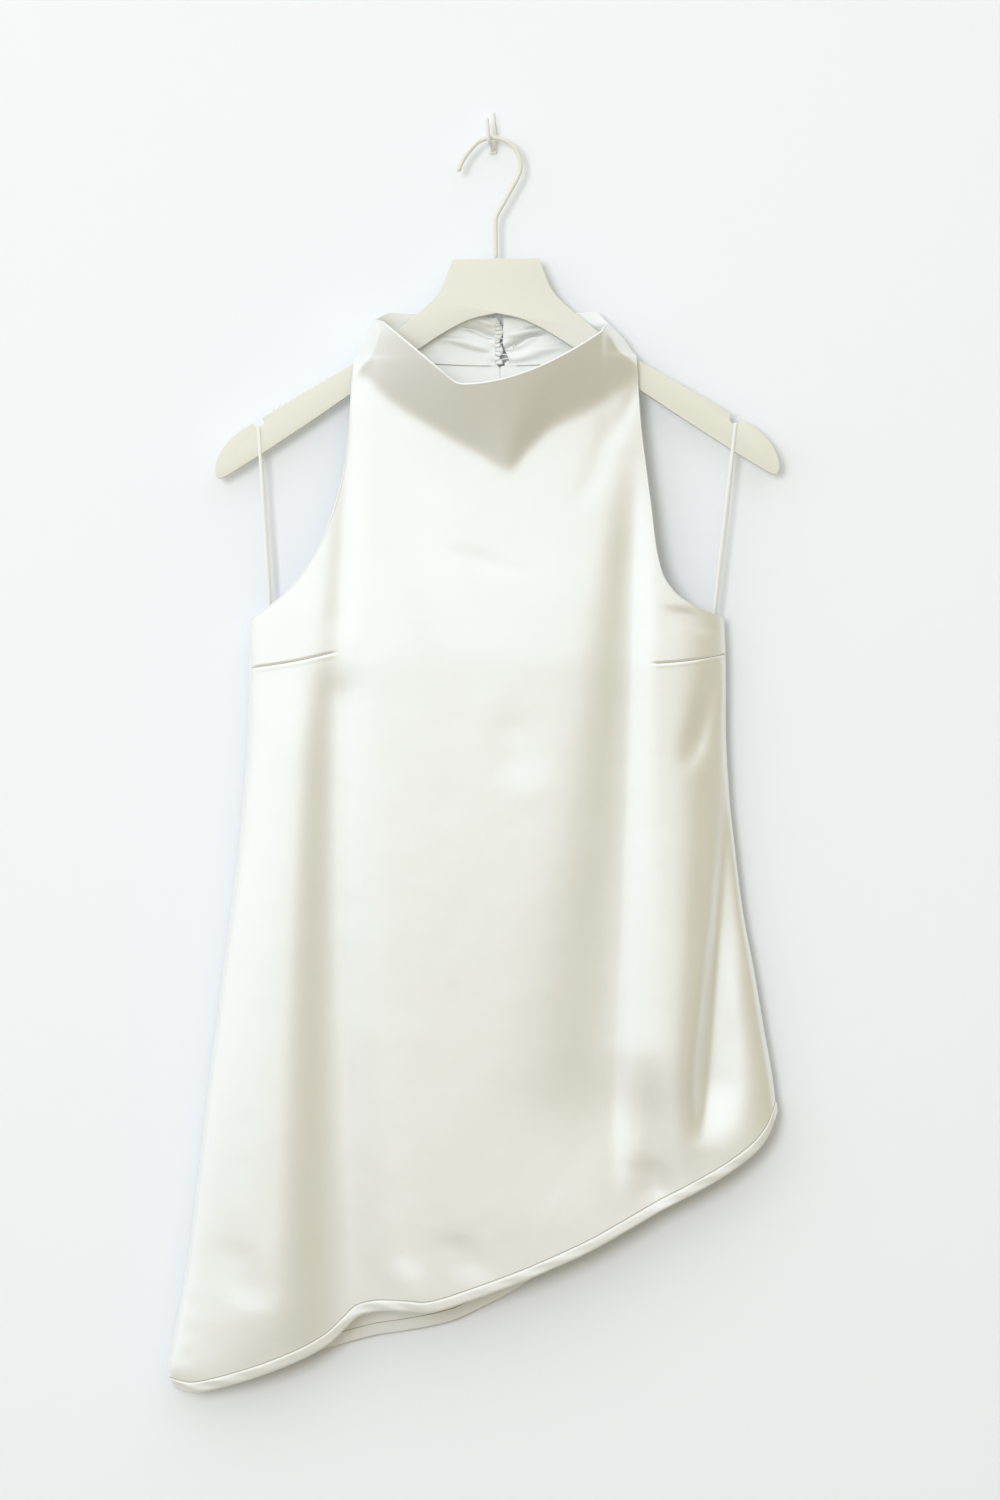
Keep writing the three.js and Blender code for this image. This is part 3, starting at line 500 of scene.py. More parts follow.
def back_grid(columns=170, rows=210):
    """x and drop of the back: a patch blended between its upper edge, its hem and both side edges."""
    top = back_top_edge(columns)[None]
    share = column_share(np.linspace(0, 1, columns + 1))
    level = mix(CORNER[0], CORNER[1], share)
    left_x, right_x = side_x[0](CORNER[0]), side_x[1](CORNER[1])
    fall = back_hem_fall(mix(BACK_HEM[0][0], BACK_HEM[-1][0], share))
    hem = np.stack([mix(left_x, right_x, share), level + fall], -1)[None]
    left = back_side_edge(0, rows)[:, None]
    right = back_side_edge(1, rows)[:, None]
    u = share[None, :, None]
    v = np.linspace(0, 1, rows)[:, None, None]
    corners = (1 - v) * mix(top[:, :1], top[:, -1:], u) + v * mix(hem[:, :1], hem[:, -1:], u)
    patch = mix(top, hem, v) + mix(left, right, u) - corners
    return patch[..., 0], patch[..., 1]


def sew_seam(normal):
    """On the side seams the wall's thickness lies across, so that both panels meet."""
    normal[:, 0] = (-1, 0, 0)
    normal[:, -1] = (1, 0, 0)


def wall_mesh(outer, inner):
    """Vertices and faces of the wall between two grids of points, closed all round, wound to face out."""
    rows, columns = outer.shape[:2]
    index = np.arange(rows * columns).reshape(rows, columns)
    far = index + rows * columns

    def quads(a, b, c, d):
        return np.stack([a.ravel(), b.ravel(), c.ravel(), d.ravel()], -1)

    faces = [
        quads(index[:-1, :-1], index[1:, :-1], index[1:, 1:], index[:-1, 1:]),
        quads(far[:-1, :-1], far[:-1, 1:], far[1:, 1:], far[1:, :-1]),
        quads(index[0, :-1], index[0, 1:], far[0, 1:], far[0, :-1]),
        quads(index[-1, 1:], index[-1, :-1], far[-1, :-1], far[-1, 1:]),
        quads(index[1:, 0], index[:-1, 0], far[:-1, 0], far[1:, 0]),
        quads(index[:-1, -1], index[1:, -1], far[1:, -1], far[:-1, -1]),
    ]
    return np.concatenate([outer.reshape(-1, 3), inner.reshape(-1, 3)]), np.concatenate(faces)


def signed_volume(points, faces):
    """Six times the volume that the faces enclose, which is positive where they face out."""
    a, b, c, d = (points[faces[:, k]] for k in range(4))
    return np.sum(a * np.cross(b, c)) + np.sum(a * np.cross(c, d))


def add_piece(name, mesh):
    """Stands a mesh at the origin as a piece of the part."""
    piece = bpy.data.objects.new(name, mesh)
    bpy.context.scene.collection.objects.link(piece)
    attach(piece, "root")
    return piece


def finish_mesh(mesh, material, sharp):
    """Smooth faces with sharp edges past an angle in degrees, and one material."""
    mesh.shade_smooth()
    mesh.set_sharp_from_angle(angle=math.radians(sharp))
    mesh.materials.append(material)


def make_piece(name, points, faces, material, uv, sharp):
    """Puts points in millimetres and faces into a mesh piece that stands at the origin."""
    if signed_volume(points, faces) < 0:
        faces = faces[:, ::-1]
    mesh = bpy.data.meshes.new(name)
    mesh.from_pydata(points * MM, [], faces.tolist())
    layer = mesh.uv_layers.new(name="UVMap")
    corners = np.empty(len(mesh.loops), np.int32)
    mesh.loops.foreach_get("vertex_index", corners)
    layer.data.foreach_set("uv", uv[corners].astype(np.float32).ravel())
    mesh.validate()
    finish_mesh(mesh, material, sharp)
    return add_piece(name, mesh)


def cloth_uv(points):
    """A flat map of a grid of points, as distances along its rows and columns in metres, for the weave."""
    along = np.linalg.norm(np.diff(points, axis=1), axis=-1)
    down = np.linalg.norm(np.diff(points, axis=0), axis=-1)
    u = np.concatenate([np.zeros((points.shape[0], 1)), np.cumsum(along, 1)], 1)
    u -= u[:, u.shape[1] // 2][:, None]
    v = np.concatenate([np.zeros((1, points.shape[1])), np.cumsum(down, 0)], 0)
    return np.stack([u, -v], -1).reshape(-1, 2) * MM


def cloth_wall(name, points, normal, thickness, material):
    """A panel of cloth: its outer grid and the same grid moved in by its thickness."""
    vertices, faces = wall_mesh(points, points - normal * thickness)
    uv = np.tile(cloth_uv(points), (2, 1))
    return make_piece(name, vertices, faces, material, uv, 60)


def tube(path, radii, sides, across_axis):
    """Rings round a path: each is the path's point plus cos and sin times two normals."""
    tangent = np.gradient(path, axis=0)
    tangent /= np.linalg.norm(tangent, axis=1, keepdims=True)
    first = np.cross(tangent, np.array(across_axis))
    first /= np.linalg.norm(first, axis=1, keepdims=True)
    second = np.cross(tangent, first)
    angle = np.linspace(0, 2 * math.pi, sides, endpoint=False)
    wide, thick = radii
    return path[:, None] + first[:, None] * (np.cos(angle)[:, None] * wide[:, None, None]) \
        + second[:, None] * (np.sin(angle)[:, None] * thick[:, None, None])


def tube_mesh(ring):
    """Vertices and faces of a tube's rings, with each end closed on a point."""
    count, sides = ring.shape[:2]
    index = np.arange(count * sides).reshape(count, sides)
    turn = np.roll(index, -1, axis=1)
    body = np.stack([index[:-1], turn[:-1], turn[1:], index[1:]], -1).reshape(-1, 4)
    start, end = count * sides, count * sides + 1
    caps = [np.stack([np.full(sides, start), turn[0], index[0]], -1),
            np.stack([np.full(sides, end), index[-1], turn[-1]], -1)]
    points = np.concatenate([ring.reshape(-1, 3), ring[:1].mean(1), ring[-1:].mean(1)])
    return points, body.tolist() + [face for cap in caps for face in cap.tolist()]


def make_rings(name, rings, material):
    """A closed piece from rings of points, with its first and last ring closed on a point."""
    points, faces = tube_mesh(rings)
    mesh = bpy.data.meshes.new(name)
    mesh.from_pydata(points * MM, [], faces)
    shape = bmesh.new()
    shape.from_mesh(mesh)
    bmesh.ops.recalc_face_normals(shape, faces=shape.faces)
    shape.to_mesh(mesh)
    shape.free()
    finish_mesh(mesh, material, 50)
    return add_piece(name, mesh)


def make_tube(name, path, radii, sides, material, rounded, across_axis=(0.0, 1.0, 0.0)):
    """A tube piece whose ends shrink as quarter circles of the given length."""
    path = np.asarray(path, float)
    wide, thick = (np.broadcast_to(np.asarray(r, float), (len(path),)).copy() for r in radii)
    along = np.concatenate([[0], np.cumsum(np.linalg.norm(np.diff(path, axis=0), axis=1))])
    for distance in (along, along[-1] - along):
        t = np.clip(distance / rounded, 0.02, 1)
        shrink = np.sqrt(1 - (1 - t) ** 2)
        wide, thick = wide * shrink, thick * shrink
    return make_rings(name, tube(path, (wide, thick), sides, across_axis), material)


def spline(points, steps):
    """Catmull-Rom curve through points, with the given number of steps in each stretch."""
    p = np.asarray(points, float)
    p = np.concatenate([2 * p[:1] - p[1:2], p, 2 * p[-1:] - p[-2:-1]])
    t = np.linspace(0, 1, steps, endpoint=False)[:, None]
    parts = []
    for a, b, c, d in zip(p, p[1:], p[2:], p[3:]):
        parts.append(0.5 * (2 * b + (c - a) * t + (2 * a - 5 * b + 4 * c - d) * t ** 2
                            + (3 * b - a - 3 * c + d) * t ** 3))
    return np.concatenate(parts + [p[-2:-1]])


def new_material(name, colour, roughness):
    material = bpy.data.materials.new(name)
    material.use_nodes = True
    nodes = material.node_tree.nodes
    shader = nodes["Principled BSDF"]
    shader.inputs["Base Color"].default_value = (*colour, 1)
    shader.inputs["Roughness"].default_value = roughness
    return material, nodes, material.node_tree.links, shader


def add_noise(nodes, links, vector, scale, detail, stretch=(1, 1, 1)):
    """A noise texture on stretched coordinates."""
    mapping = nodes.new("ShaderNodeMapping")
    mapping.inputs["Scale"].default_value = stretch
    noise = nodes.new("ShaderNodeTexNoise")
    noise.inputs["Scale"].default_value = scale
    noise.inputs["Detail"].default_value = detail
    links.new(vector, mapping.inputs["Vector"])
    links.new(mapping.outputs["Vector"], noise.inputs["Vector"])
    return noise


def add_bump(nodes, links, height, shader, strength, distance, before=None):
    bump = nodes.new("ShaderNodeBump")
    bump.inputs["Strength"].default_value = strength
    bump.inputs["Distance"].default_value = distance
    links.new(height, bump.inputs["Height"])
    if before is not None:
        links.new(before.outputs["Normal"], bump.inputs["Normal"])
    links.new(bump.outputs["Normal"], shader.inputs["Normal"])
    return bump


def satin_material(name, colour, warm, roughness):
    """Ivory satin: long fine threads, soft crumples and a slight change of depth in its colour."""
    material, nodes, links, shader = new_material(name, colour, roughness)
    shader.inputs["Metallic"].default_value = 0.55
    shader.inputs["Sheen Weight"].default_value = 0.12
    shader.inputs["Sheen Roughness"].default_value = 0.45
    shader.inputs["Sheen Tint"].default_value = (1, 0.99, 0.95, 1)
    place = nodes.new("ShaderNodeTexCoord")
    thread = add_noise(nodes, links, place.outputs["UV"], 900, 2, (1, 0.12, 1))
    crumple = add_noise(nodes, links, place.outputs["Object"], 26, 3)
    depth = add_noise(nodes, links, place.outputs["Object"], 6, 2)
    blend = nodes.new("ShaderNodeMix")
    blend.data_type = "RGBA"
    blend.inputs["A"].default_value = (*colour, 1)
    blend.inputs["B"].default_value = (*warm, 1)
    links.new(depth.outputs["Fac"], blend.inputs["Factor"])
    links.new(blend.outputs["Result"], shader.inputs["Base Color"])
    soft = add_bump(nodes, links, crumple.outputs["Fac"], shader, 0.5, 0.0012)
    add_bump(nodes, links, thread.outputs["Fac"], shader, 0.08, 0.0001, soft)
    return material


def painted_material(name, colour, roughness, grain):
    """Smooth paint or moulded board with a faint grain."""
    material, nodes, links, shader = new_material(name, colour, roughness)
    place = nodes.new("ShaderNodeTexCoord")
    noise = add_noise(nodes, links, place.outputs["Object"], grain, 4)
    ramp = nodes.new("ShaderNodeMix")
    ramp.data_type = "RGBA"
    ramp.inputs["A"].default_value = (*(c * 0.985 for c in colour), 1)
    ramp.inputs["B"].default_value = (*(min(1, c * 1.015) for c in colour), 1)
    links.new(noise.outputs["Fac"], ramp.inputs["Factor"])
    links.new(ramp.outputs["Result"], shader.inputs["Base Color"])
    add_bump(nodes, links, noise.outputs["Fac"], shader, 0.1, 0.0001)
    return material


def ivory(name, roughness):
    settings = bpy.context.scene.halter_satin
    return bpy.data.materials.get(name) or satin_material(name, settings.colour, settings.warm, roughness)


def satin():
    return ivory("ivory_satin", 0.38)


def trim():
    return ivory("ivory_trim", 0.42)


def ribbon():
    return ivory("ivory_ribbon", 0.45)


def cream(name, roughness):
    settings = bpy.context.scene.halter_hanger
    return bpy.data.materials.get(name) or painted_material(name, settings.colour, roughness, 700)


def edge_roll(name, points, normal, radius):
    """A turned edge: a small round roll along a border of a panel, half inside the wall."""
    path = points - normal * radius * 0.55
    return make_tube(name, path, (radius, radius * 0.8), 10, trim(), radius * 1.5)


def stitch_shade_line(name, path):
    """A line of stitches pulled into the cloth, as a fine round thread half sunk in it; its dark colour is
    painted shade along the ditches of the darts and the hem, and painted shadow under the neckband's edge.
    """
    thread = bpy.data.materials.get("stitch_shade_thread")
    if thread is None:
        thread = new_material("stitch_shade_thread", STITCH_SHADE_COLOUR, 0.75)[0]
    line = make_tube(name, path, (0.32, 0.3), 8, thread, 1.0)


def build_front():
    """The front, its hem, the turned neckline and armhole edges."""
    settings = bpy.context.scene.halter_satin
    thickness = settings.thickness / MM
    x, drop = front_grid()
    points, normal = surface(front_y, -1, x, drop)
    collar, armholes, _ = row_levels()
    below = len(collar) + len(armholes)
    for rows in (slice(0, len(collar) + 1), slice(below, None)):
        sew_seam(normal[rows])
    front = cloth_wall("front_cloth", points, normal, thickness, satin())
    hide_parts("front_panel")
    radius = settings.edge / MM
    edges = [edge_roll("neckline_edge", points[0], normal[0], radius)]
    for k, side in enumerate(("left", "right")):
        column = (0, -1)[k]
        rows = slice(len(collar), below + 1)
        border, out = points[rows, column], normal[rows, column]
        edges.append(edge_roll(f"front_armhole_edge_{side}", border, out, ARMHOLE_ROLL))
    hem = build_hem("front_hem_cloth", points, normal, "front_hem")
    # Stitch lines along the darts, dark as painted shade in their grooves
    for (seam_x, seam_drop, tip_x, tip_drop), side in zip(DARTS, ("left", "right")):
        t = np.linspace(0.03, 0.985, 60)
        line, out = surface(front_y, -1, mix(tip_x, seam_x, t), dart_drop(t, seam_drop, tip_drop))
        stitch_shade_line(f"dart_stitch_shade_{side}", line + out * 0.1)


def build_hem(name, points, normal, node):
    """The stitched hem: the last rows of a panel moved out, rounded at both edges, with a little roping."""
    settings = bpy.context.scene.halter_satin
    height = settings.hem_height / MM
    along = np.concatenate([[0], np.cumsum(np.linalg.norm(np.diff(points[-1], axis=0), axis=1))])
    rise = np.linspace(0, 1, 15)[:, None]
    profile = 0.25 + 0.75 * np.sqrt(np.clip(1 - (2 * rise - 1) ** 4, 0, 1))
    roping = 0.2 * np.sin(along[None] / 5.1 + rise * 5 + 1.7 * np.sin(along[None] / 41)) \
        * (0.6 + 0.4 * np.sin(along[None] / 23))
    lift = profile * (0.9 + roping)
    grid = points_on_panel(points, normal, rise[:, 0] * height)
    outer = grid[0] + grid[1] * lift[..., None]
    inner = grid[0] + grid[1] * 0.02
    vertices, faces = wall_mesh(outer[::-1], inner[::-1])
    uv = np.tile(cloth_uv(outer[::-1]), (2, 1))
    hem = make_piece(name, vertices, faces, trim(), uv, 60)
    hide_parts(node)
    # Stitch lines along the hem's top, outside and inside, dark as painted shade of its stitched ditch
    line, out = points_on_panel(points, normal, [height + 0.55])
    stitch_shade_line(name.replace("cloth", "stitches"), line[0] + out[0] * 0.1)
    stitch_shade_line(name.replace("cloth", "inner_stitch_shade"), line[0] - out[0] * (settings.thickness / MM + 0.1))
    return hem


def points_on_panel(points, normal, heights):
    """Points and normals of a panel at given distances above its lower edge, along its columns."""
    steps = np.linalg.norm(np.diff(points, axis=0), axis=-1)
    above = np.concatenate([np.zeros((1, points.shape[1])), np.cumsum(steps[::-1], 0)])[::-1]
    lower = points[-30:], normal[-30:], above[-30:]
    result = []
    for height in heights:
        i = np.clip((lower[2] > height).sum(0) - 1, 0, 28)
        column = np.arange(points.shape[1])
        span = lower[2][i, column] - lower[2][i + 1, column]
        t = ((lower[2][i, column] - height) / span)[:, None]
        result.append([mix(grid[i, column], grid[i + 1, column], t) for grid in lower[:2]])
    return np.array([r[0] for r in result]), np.array([r[1] for r in result])


def build_back():
    """The back with its slit, its hem and the turned edges of the armholes and the slit."""
    settings = bpy.context.scene.halter_satin
    x, drop = back_grid()
    points, normal = surface(back_y, 1, x, drop)
    on_seam = points[:, 0, 2] < -UNDERARM[0]
    sew_seam(normal[on_seam])
    back = cloth_wall("back_cloth", points, normal, settings.thickness / MM, satin())
    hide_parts("back_panel")
    hem = build_hem("back_hem_cloth", points, normal, "back_hem")
    arm_rows = slice(0, int((~on_seam).sum()) + 1)
    for side, column in (("left", 0), ("right", -1)):
        border, out = points[arm_rows, column], normal[arm_rows, column]
        edge_roll(f"back_armhole_edge_{side}", border, out, ARMHOLE_ROLL)
    hole = slit_edge()
    hole_points, hole_normal = surface(back_y, 1, hole[:, 0], hole[:, 1])
    edge_roll("slit_edge", hole_points, hole_normal, SLIT_ROLL)


def band_grid(k, columns=90, rows=26):
    """x and drop of half of the neckband, from the shoulder seam to the centre back."""
    sign = 2 * k - 1
    u, v = np.linspace(0, 1, columns + 1)[None, :], np.linspace(0, 1, rows + 1)[:, None]
    seam_drop = mix(NECK[k], SHOULDER[k], v)
    share = mix(u, 1 - np.cos(math.pi * u / 2), 0.5)
    meet = MEET_X + sign * MEET_GAP / 2 + k * BAND_PULL * smooth(v, 0.5, 1)
    x = mix(side_x[k](seam_drop), meet, share)
    top = mix(NECK[k], BAND_TOP, smooth(u, 0, BAND_RISE)) + BAND_DIP * smooth(u, BAND_RISE, 1)
    drop = mix(top, band_low_drop(x), v)
    drop[:, :1] = seam_drop
    return x, drop


def band_puckers(x, drop):
    """Small gathers that fan out from the buttons and fade within about 15 mm of them."""
    total = 0
    for i, place in enumerate(BUTTON_DROPS):
        away = np.hypot(x - MEET_X, drop - place)
        angle = np.arctan2(drop - place, np.abs(x - MEET_X) + 0.5)
        total = total + 0.4 * np.exp(-(away / (9 + 4 * (i % 2))) ** 2) * np.sin(4.5 * angle + 1.3 * i) \
            * smooth(away, 1, 6)
    return total


def band_y(x, drop):
    """The band's outer surface: the back's, with gathers and creases."""
    return back_y(x, drop) + band_puckers(x, drop) + fold_stand(BAND_CREASES, x, drop)


def build_band():
    """Both halves of the back neckband, a double layer with a rounded upper edge."""
    for k, side in enumerate(("left", "right")):
        x, drop = band_grid(k)
        if k:
            x, drop = x[:, ::-1], drop[:, ::-1]
        points, normal = surface(band_y, 1, x, drop)
        normal[:, -k] = (2 * k - 1, 0, 0)
        band = cloth_wall(f"neckband_{side}_cloth", points, normal, BAND_THICKNESS, satin())
        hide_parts(f"neckband_{side}")
        roll = edge_roll(f"neckband_edge_{side}", points[0], normal[0], BAND_ROLL)
        seen = slice(3, -3)
        # A stitch line inside the band's lower edge, dark as a painted shadow under that edge
        stitch_shade_line(f"neckband_stitch_shade_{side}", points[-1, seen] - normal[-1, seen] * 1.2)
    build_tape()


def build_tape():
    """The crimped tape that holds the loops: x from TAPE_X to 9 + 1.3 * cos(turns), rippled in its depth."""
    drop = np.linspace(BAND_TOP + 5, BAND_LOW - 1, 110)
    edge = 9.0 + 1.3 * np.cos(2 * math.pi * (drop - BUTTON_DROPS[0]) / 12.6 + 0.8 * np.sin(drop / 7))
    ripple = 0.3 * np.sin(2 * math.pi * drop / 3.4) + 0.25 * np.sin(drop / 1.7)
    inside = band_y(np.full(drop.shape, 6.0), drop) - 1.3 + ripple
    path = np.stack([(TAPE_X + edge) / 2, inside, -drop], -1)
    tape = make_tube("loop_tape", path, ((edge - TAPE_X) / 2, 0.45), 12, trim(), 1.0)


def build_buttons():
    """Covered buttons, domes of revolution with faint gathers at their backs, and corded loops round them."""
    angles = np.linspace(0, 2 * math.pi, BUTTON_SIDES, endpoint=False)
    turn, up = np.meshgrid(angles, np.linspace(0, 1, 14), indexing="xy")
    for i, drop in enumerate(BUTTON_DROPS):
        base = float(back_y(np.array(BUTTON_X), np.array(drop))) + 0.5
        lift = BUTTON_EDGE + (BUTTON_HEIGHT - BUTTON_EDGE) * np.sin(up * math.pi / 2)
        gathers = 1 + 0.03 * np.cos(9 * turn) * (1 - up)
        radius = BUTTON_RADIUS * np.maximum(np.cos(up * math.pi / 2), 0.02) * gathers
        foot = radius[0] * 0.8
        base_ring = np.stack([foot * np.cos(turn[0]), np.zeros(BUTTON_SIDES), foot * np.sin(turn[0])], -1)
        dome = np.stack([radius * np.cos(turn), lift, radius * np.sin(turn)], -1)
        rings = np.concatenate([base_ring[None], dome])
        rings = rings + np.array((BUTTON_X, base, -drop))
        button = make_rings(f"covered_button_{i + 1}", rings, trim())
        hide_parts(f"button_{i + 1}")
        y = base + CORD_RADIUS
        reach = BUTTON_RADIUS + CORD_RADIUS + 0.3
        root = MEET_X - MEET_GAP - CORD_ROOT
        path = [(root, y - 0.5, 1.6 - drop), (MEET_X, y, reach * 0.8 - drop)]
        for angle in np.radians(np.arange(90, -91, -30)):
            path.append((BUTTON_X + reach * math.cos(angle), y, reach * math.sin(angle) - drop))
        path += [(MEET_X, y, -reach * 0.8 - drop), (root, y - 0.5, -1.6 - drop)]
        radii = (CORD_RADIUS, CORD_RADIUS)
        loop = make_tube(f"corded_loop_{i + 1}", spline(path, 8), radii, 12, trim(), 1.0)
        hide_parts(f"button_loop_{i + 1}")


def notch_bottom(k):
    """The lowest point of the hanger's notch on one side, turned with the hanger."""
    sign = 2 * k - 1
    x = ARM_X + NOTCH_DISTANCE * math.cos(ARM_SLOPE) - NOTCH_BELOW * math.sin(ARM_SLOPE)
    z = ARM_Z - NOTCH_DISTANCE * math.sin(ARM_SLOPE) - NOTCH_BELOW * math.cos(ARM_SLOPE) - NOTCH_RADIUS
    return Matrix.Rotation(BOARD_TILT, 3, "Y") @ Vector((sign * x + BOARD_X, 0, z))


def build_ribbons():
    """Ribbon loops: up in front of the arm, over its notch and down behind it, as flat ovals along a path."""
    for k, side in enumerate(("left", "right")):
        anchor_x, anchor_drop = ANCHORS[side]
        top = notch_bottom(k)
        beside = BOARD_THICKNESS / 2 + 0.3 + RIBBON_THICKNESS / 2
        over = top.z + 0.5 + RIBBON_THICKNESS / 2

        def at(t, y, sideways=0.0):
            return (mix(anchor_x, top.x, t) + sideways, y, mix(-anchor_drop, over, t))

        path = [
            at(0, -1.4), at(0.35, -2.6), at(0.78, -beside), at(0.97, -beside),
            (top.x, -beside + 0.1, over - 0.3), (top.x, -beside + 0.9, over + 0.05),
            (top.x, beside - 0.9, over + 0.05), (top.x, beside - 0.1, over - 0.3),
            at(0.97, beside), at(0.78, beside, 1.2), at(0.35, 2.6, 2.2), at(0, 1.7, 1.4),
        ]
        radii = (RIBBON_THICKNESS / 2, RIBBON_WIDTH / 2)
        loop = make_tube(
            f"ribbon_{side}", spline(path, 8), radii, 10, ribbon(), 1.0, across_axis=(1.0, 0.0, 0.0))
        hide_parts(f"hanger_loop_{side}")


def build_hanger():
    """The board with rounded edges, made from a merged copy of its solid, and the round wire hook."""
    settings = bpy.context.scene.halter_hanger
    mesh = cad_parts["hanger_board"].data.copy()
    mesh.name = "hanger_plate"
    shape = bmesh.new()
    shape.from_mesh(mesh)
    bmesh.ops.remove_doubles(shape, verts=shape.verts, dist=0.00001)
    bmesh.ops.dissolve_limit(shape, angle_limit=math.radians(1), verts=shape.verts, edges=shape.edges)
    rims = [e for e in shape.edges if len(e.link_faces) == 2 and e.calc_face_angle(0) > math.radians(60)
            and abs(e.verts[0].co.y - e.verts[1].co.y) < 0.001]
    bmesh.ops.bevel(shape, geom=rims, offset=settings.edge, segments=3, profile=0.5, affect="EDGES")
    shape.to_mesh(mesh)
    shape.free()
    # The solid's own normals would undo the smoothing
    for name in [n for n in mesh.attributes.keys() if n.startswith("custom")]:
        mesh.attributes.remove(mesh.attributes[name])
    mesh.materials.clear()
    finish_mesh(mesh, cream("hanger_cream", 0.55), 32)
    plate = add_piece("hanger_plate", mesh)
    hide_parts("hanger_board")
    path = [(BOARD_X, BOARD_TOP + 0.2), (BOARD_X, -80), (BOARD_X, -67), (4.6, -60.5), (8, -54), (14, -43.5)]
    for angle in np.radians(np.arange(-32, 129, 16)):
        path.append((ARC_X + ARC_RADIUS * math.cos(angle), ARC_Z + ARC_RADIUS * math.sin(angle)))
    path += [(-20.6, -14), (-25.6, -25)]
    turn = np.array(Matrix.Rotation(BOARD_TILT, 3, "Y"))
    places = spline([(x, 0, z) for x, z in path], 8) @ turn.T
    hook = make_tube("wire_hook", places, (WIRE_RADIUS, WIRE_RADIUS), 20, cream("wire_cream", 0.35), 1.2)
    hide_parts("hanger_hook")


def build_wall_hook():
    """The wall hook: a pointed plate with rounded edges and a bent round prong."""
    settings = bpy.context.scene.halter_hanger
    paint = painted_material("wall_hook_paint", settings.hook_colour, 0.35, 400)
    level, half = np.array(PLATE_LEVELS), np.array(PLATE_HALVES)
    left, right = (np.stack([PLATE_X + sign * half, level], -1) for sign in (-1, 1))
    outline = np.concatenate([left, right[::-1]])
    shape = bmesh.new()
    for y in (WALL_Y - PLATE_THICKNESS, WALL_Y - 0.01):
        for x, z in outline:
            shape.verts.new((x * MM, y * MM, z * MM))
    shape.verts.ensure_lookup_table()
    count = len(outline)
    front = [shape.verts[i] for i in range(count)]
    rear = [shape.verts[i + count] for i in range(count)]
    shape.faces.new(front)
    shape.faces.new(rear[::-1])
    for i in range(count):
        j = (i + 1) % count
        shape.faces.new((front[j], front[i], rear[i], rear[j]))
    bmesh.ops.recalc_face_normals(shape, faces=shape.faces)
    bmesh.ops.bevel(
        shape, geom=shape.edges[:], offset=PLATE_ROUNDING * MM, segments=2, profile=0.5, affect="EDGES")
    mesh = bpy.data.meshes.new("wall_plate")
    shape.to_mesh(mesh)
    shape.free()
    finish_mesh(mesh, paint, 35)
    plate = add_piece("wall_plate", mesh)
    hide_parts("wall_hook")
    radii = (PRONG_RADIUS, PRONG_RADIUS)
    prong = make_tube("wall_prong", spline(PRONG, 8), radii, 16, paint, 1.4, across_axis=(1.0, 0.0, 0.0))


def stage_plane(name, corners, material):
    mesh = bpy.data.meshes.new(name)
    mesh.from_pydata(corners, [], [(0, 1, 2, 3)])
    mesh.materials.append(material)
    plane = bpy.data.objects.new(name, mesh)
    bpy.context.scene.collection.objects.link(plane)


def area_light(name, place, target, size, power):
    light = bpy.data.lights.new(name, "AREA")
    light.shape = "DISK"
    light.size = size
    light.energy = power
    light.color = KEY_COLOUR
    lamp = bpy.data.objects.new(name, light)
    lamp.location = place
    lamp.rotation_euler = (Vector(target) - Vector(place)).to_track_quat("-Z", "Y").to_euler()
    lamp.visible_glossy = False
    bpy.context.scene.collection.objects.link(lamp)


def build_stage():
    """The wall behind, which can't be seen from its back, a pale floor, the lights and the camera."""
    settings = bpy.context.scene.halter_stage
    wall, nodes, links, shader = new_material("wall_paint", settings.wall, 0.9)
    shader.inputs["Specular IOR Level"].default_value = 0.1
    clear = nodes.new("ShaderNodeBsdfTransparent")
    sides = nodes.new("ShaderNodeNewGeometry")
    choose = nodes.new("ShaderNodeMixShader")
    links.new(sides.outputs["Backfacing"], choose.inputs["Fac"])
    links.new(shader.outputs["BSDF"], choose.inputs[1])
    links.new(clear.outputs["BSDF"], choose.inputs[2])
    links.new(choose.outputs["Shader"], nodes["Material Output"].inputs["Surface"])
    floor, _, _, floor_shader = new_material("floor_paint", settings.floor, 0.8)
    floor_shader.inputs["Specular IOR Level"].default_value = 0.1
    y, low = WALL_Y * MM + 0.0005, FLOOR_LEVEL
    stage_plane("wall", [(-4, y, low), (4, y, low), (4, y, 2.5), (-4, y, 2.5)], wall)
    stage_plane("floor", [(-4, -5, low), (4, -5, low), (4, 4, low), (-4, 4, low)], floor)
    middle = (PHOTO_CENTRE[0] * MM, 0, PHOTO_CENTRE[1] * MM)
    key_x, key_y = middle[0] - KEY_REACH * math.sin(KEY_SIDE), -KEY_REACH * math.cos(KEY_SIDE)
    key_place = (key_x, key_y, middle[2] + KEY_REACH * math.sin(KEY_RISE))
    area_light("key_light", key_place, middle, KEY_SIZE, settings.key)
    build_soft_light(settings.fill)
    build_camera(middle, settings.distance)


